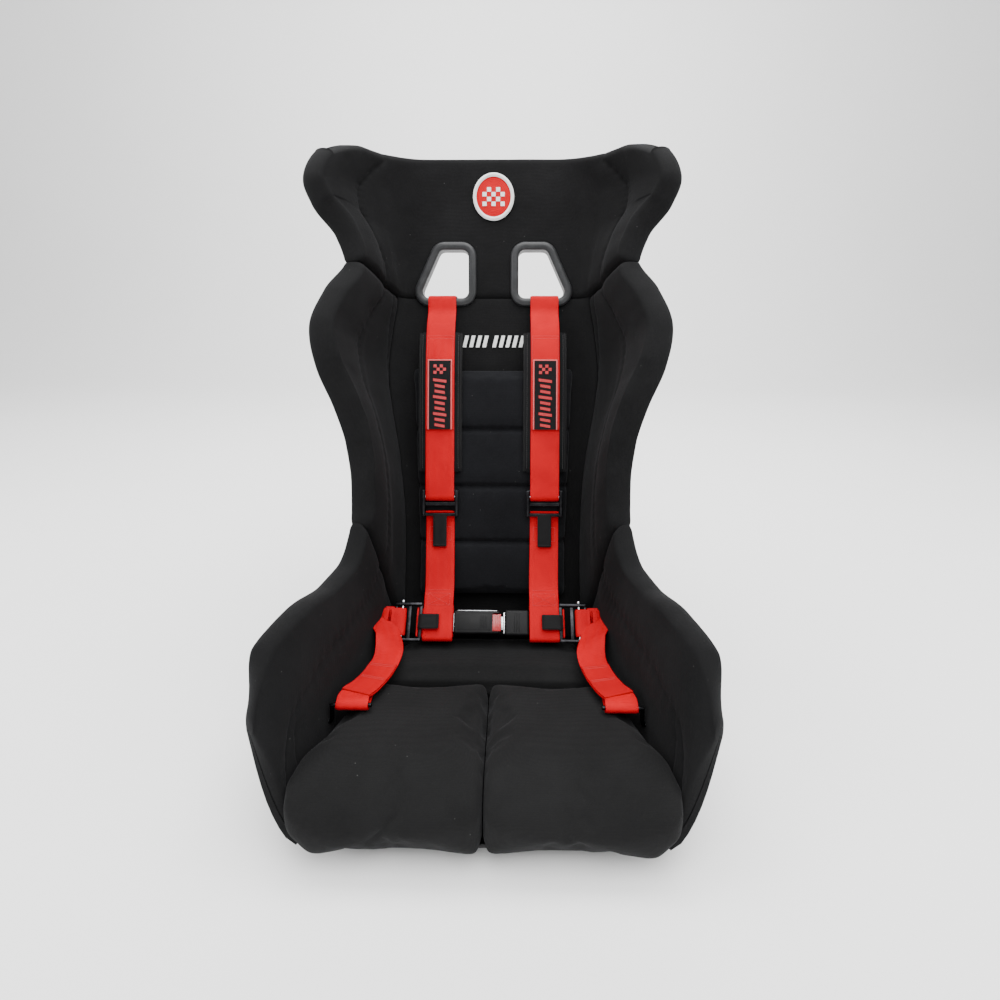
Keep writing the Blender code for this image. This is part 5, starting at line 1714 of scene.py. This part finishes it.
def build_harness():
    buckle_cover()
    buckle_trim()
    press_button()
    tongue()
    buckle_belt = lap_web("buckle_belt", -1, -HOUSING_LEFT + 0.0015)
    on_body(buckle_belt, "seat", ["buckle_web"])
    tongue_belt = lap_web("tongue_belt", 1, COVER_RIGHT + 0.0015)
    on_body(tongue_belt, "tongue", ["tongue_web"])
    for side, word in SIDES:
        on_body(shoulder_strap_upper(side, word), "seat", ["shoulder_strap_upper_" + word])
        on_body(shoulder_pad(side, word), "shoulder_pad_" + word, ["shoulder_pad_" + word])
        on_body(pad_sleeve(side, word), "shoulder_pad_" + word, ["shoulder_pad_sleeve_" + word])
        shoulder_place = on_back(side * STRAP_X, ADJUSTER_U, ADJUSTER_OFF)
        adjuster("shoulder", word, shoulder_place, back_rotation(ADJUSTER_U), SHOULDER_TAB)
        lap_place = lap_point(side * LAP_ADJUSTER_X[side], 0.0, ADJUSTER_LIFT)
        adjuster("lap", word, lap_place, lap_rotation(side), LAP_TAB)
        lower = shoulder_strap_lower(side, word)
        belt = lap_belt(side, word)
        if side > 0:
            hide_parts("shoulder_strap_lower_right")
            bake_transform(lower)
            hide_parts("lap_strap_right")
            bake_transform(belt)
        else:
            on_body(lower, "seat", ["shoulder_strap_lower_left"])
            on_body(belt, "seat", ["lap_strap_left"])


def build_stage():
    """A pale floor that curves up into a backdrop."""
    bm = bmesh.new()
    front, back, width, height, bend = -6.0, 3.0, 9.0, 7.0, 1.5
    profile = [(front, 0.0), (back, 0.0)]
    for k in range(1, 13):
        angle = math.radians(90 * k / 12)
        profile.append((back + bend * math.sin(angle), bend - bend * math.cos(angle)))
    profile.append((back + bend, height))
    add_rows(bm, [[(x, y, z) for x in (-width, width)] for y, z in profile], closed=False)
    place_piece("floor", mesh_of(bm, "floor"), [floor_look("floor_paint")])


def area_light(name, place, target, size, power):
    data = bpy.data.lights.new(name, "AREA")
    data.shape = "SQUARE"
    data.size = size
    data.energy = power
    light = bpy.data.objects.new(name, data)
    bpy.context.scene.collection.objects.link(light)
    light.location = place
    light.rotation_euler = (Vector(target) - Vector(place)).to_track_quat("-Z", "Y").to_euler()


def build_lights():
    area_light("top_light", (0.3, -1.1, 2.6), (0.0, 0.0, 0.4), 2.0, 95.0)
    area_light("left_light", (-2.4, -1.2, 1.5), (0.0, 0.0, 0.5), 1.6, 42.0)
    area_light("right_light", (2.4, -0.9, 1.3), (0.0, 0.0, 0.4), 1.6, 28.0)
    area_light("backdrop_light", (0.0, 0.9, 3.4), (0.0, 4.0, 0.6), 3.0, 260.0)
    world = bpy.data.worlds.new("studio")
    world.use_nodes = True
    background = world.node_tree.nodes["Background"]
    background.inputs["Color"].default_value = (1.0, 1.0, 1.0, 1.0)
    background.inputs["Strength"].default_value = 1.0
    bpy.context.scene.world = world


def build_camera():
    """A close, slightly raised view from the front."""
    yaw = math.radians(-0.93)
    pitch = math.radians(15.2)
    level = math.cos(pitch)
    forward = Vector((math.sin(yaw) * level, math.cos(yaw) * level, -math.sin(pitch)))
    right = Vector((math.cos(yaw), -math.sin(yaw), 0.0))
    up = right.cross(forward)
    data = bpy.data.cameras.new("camera")
    data.sensor_width = 36.0
    data.lens = 20.376
    data.shift_y = -0.06
    data.clip_start = 0.01
    camera = bpy.data.objects.new("camera", data)
    bpy.context.scene.collection.objects.link(camera)
    turn = Matrix((right, up, -forward)).transposed()
    camera.matrix_world = Matrix.Translation((0.029, -0.813, 0.674)) @ turn.to_4x4()
    bpy.context.scene.camera = camera


build_seat()
build_harness()
build_stage()
build_lights()
build_camera()
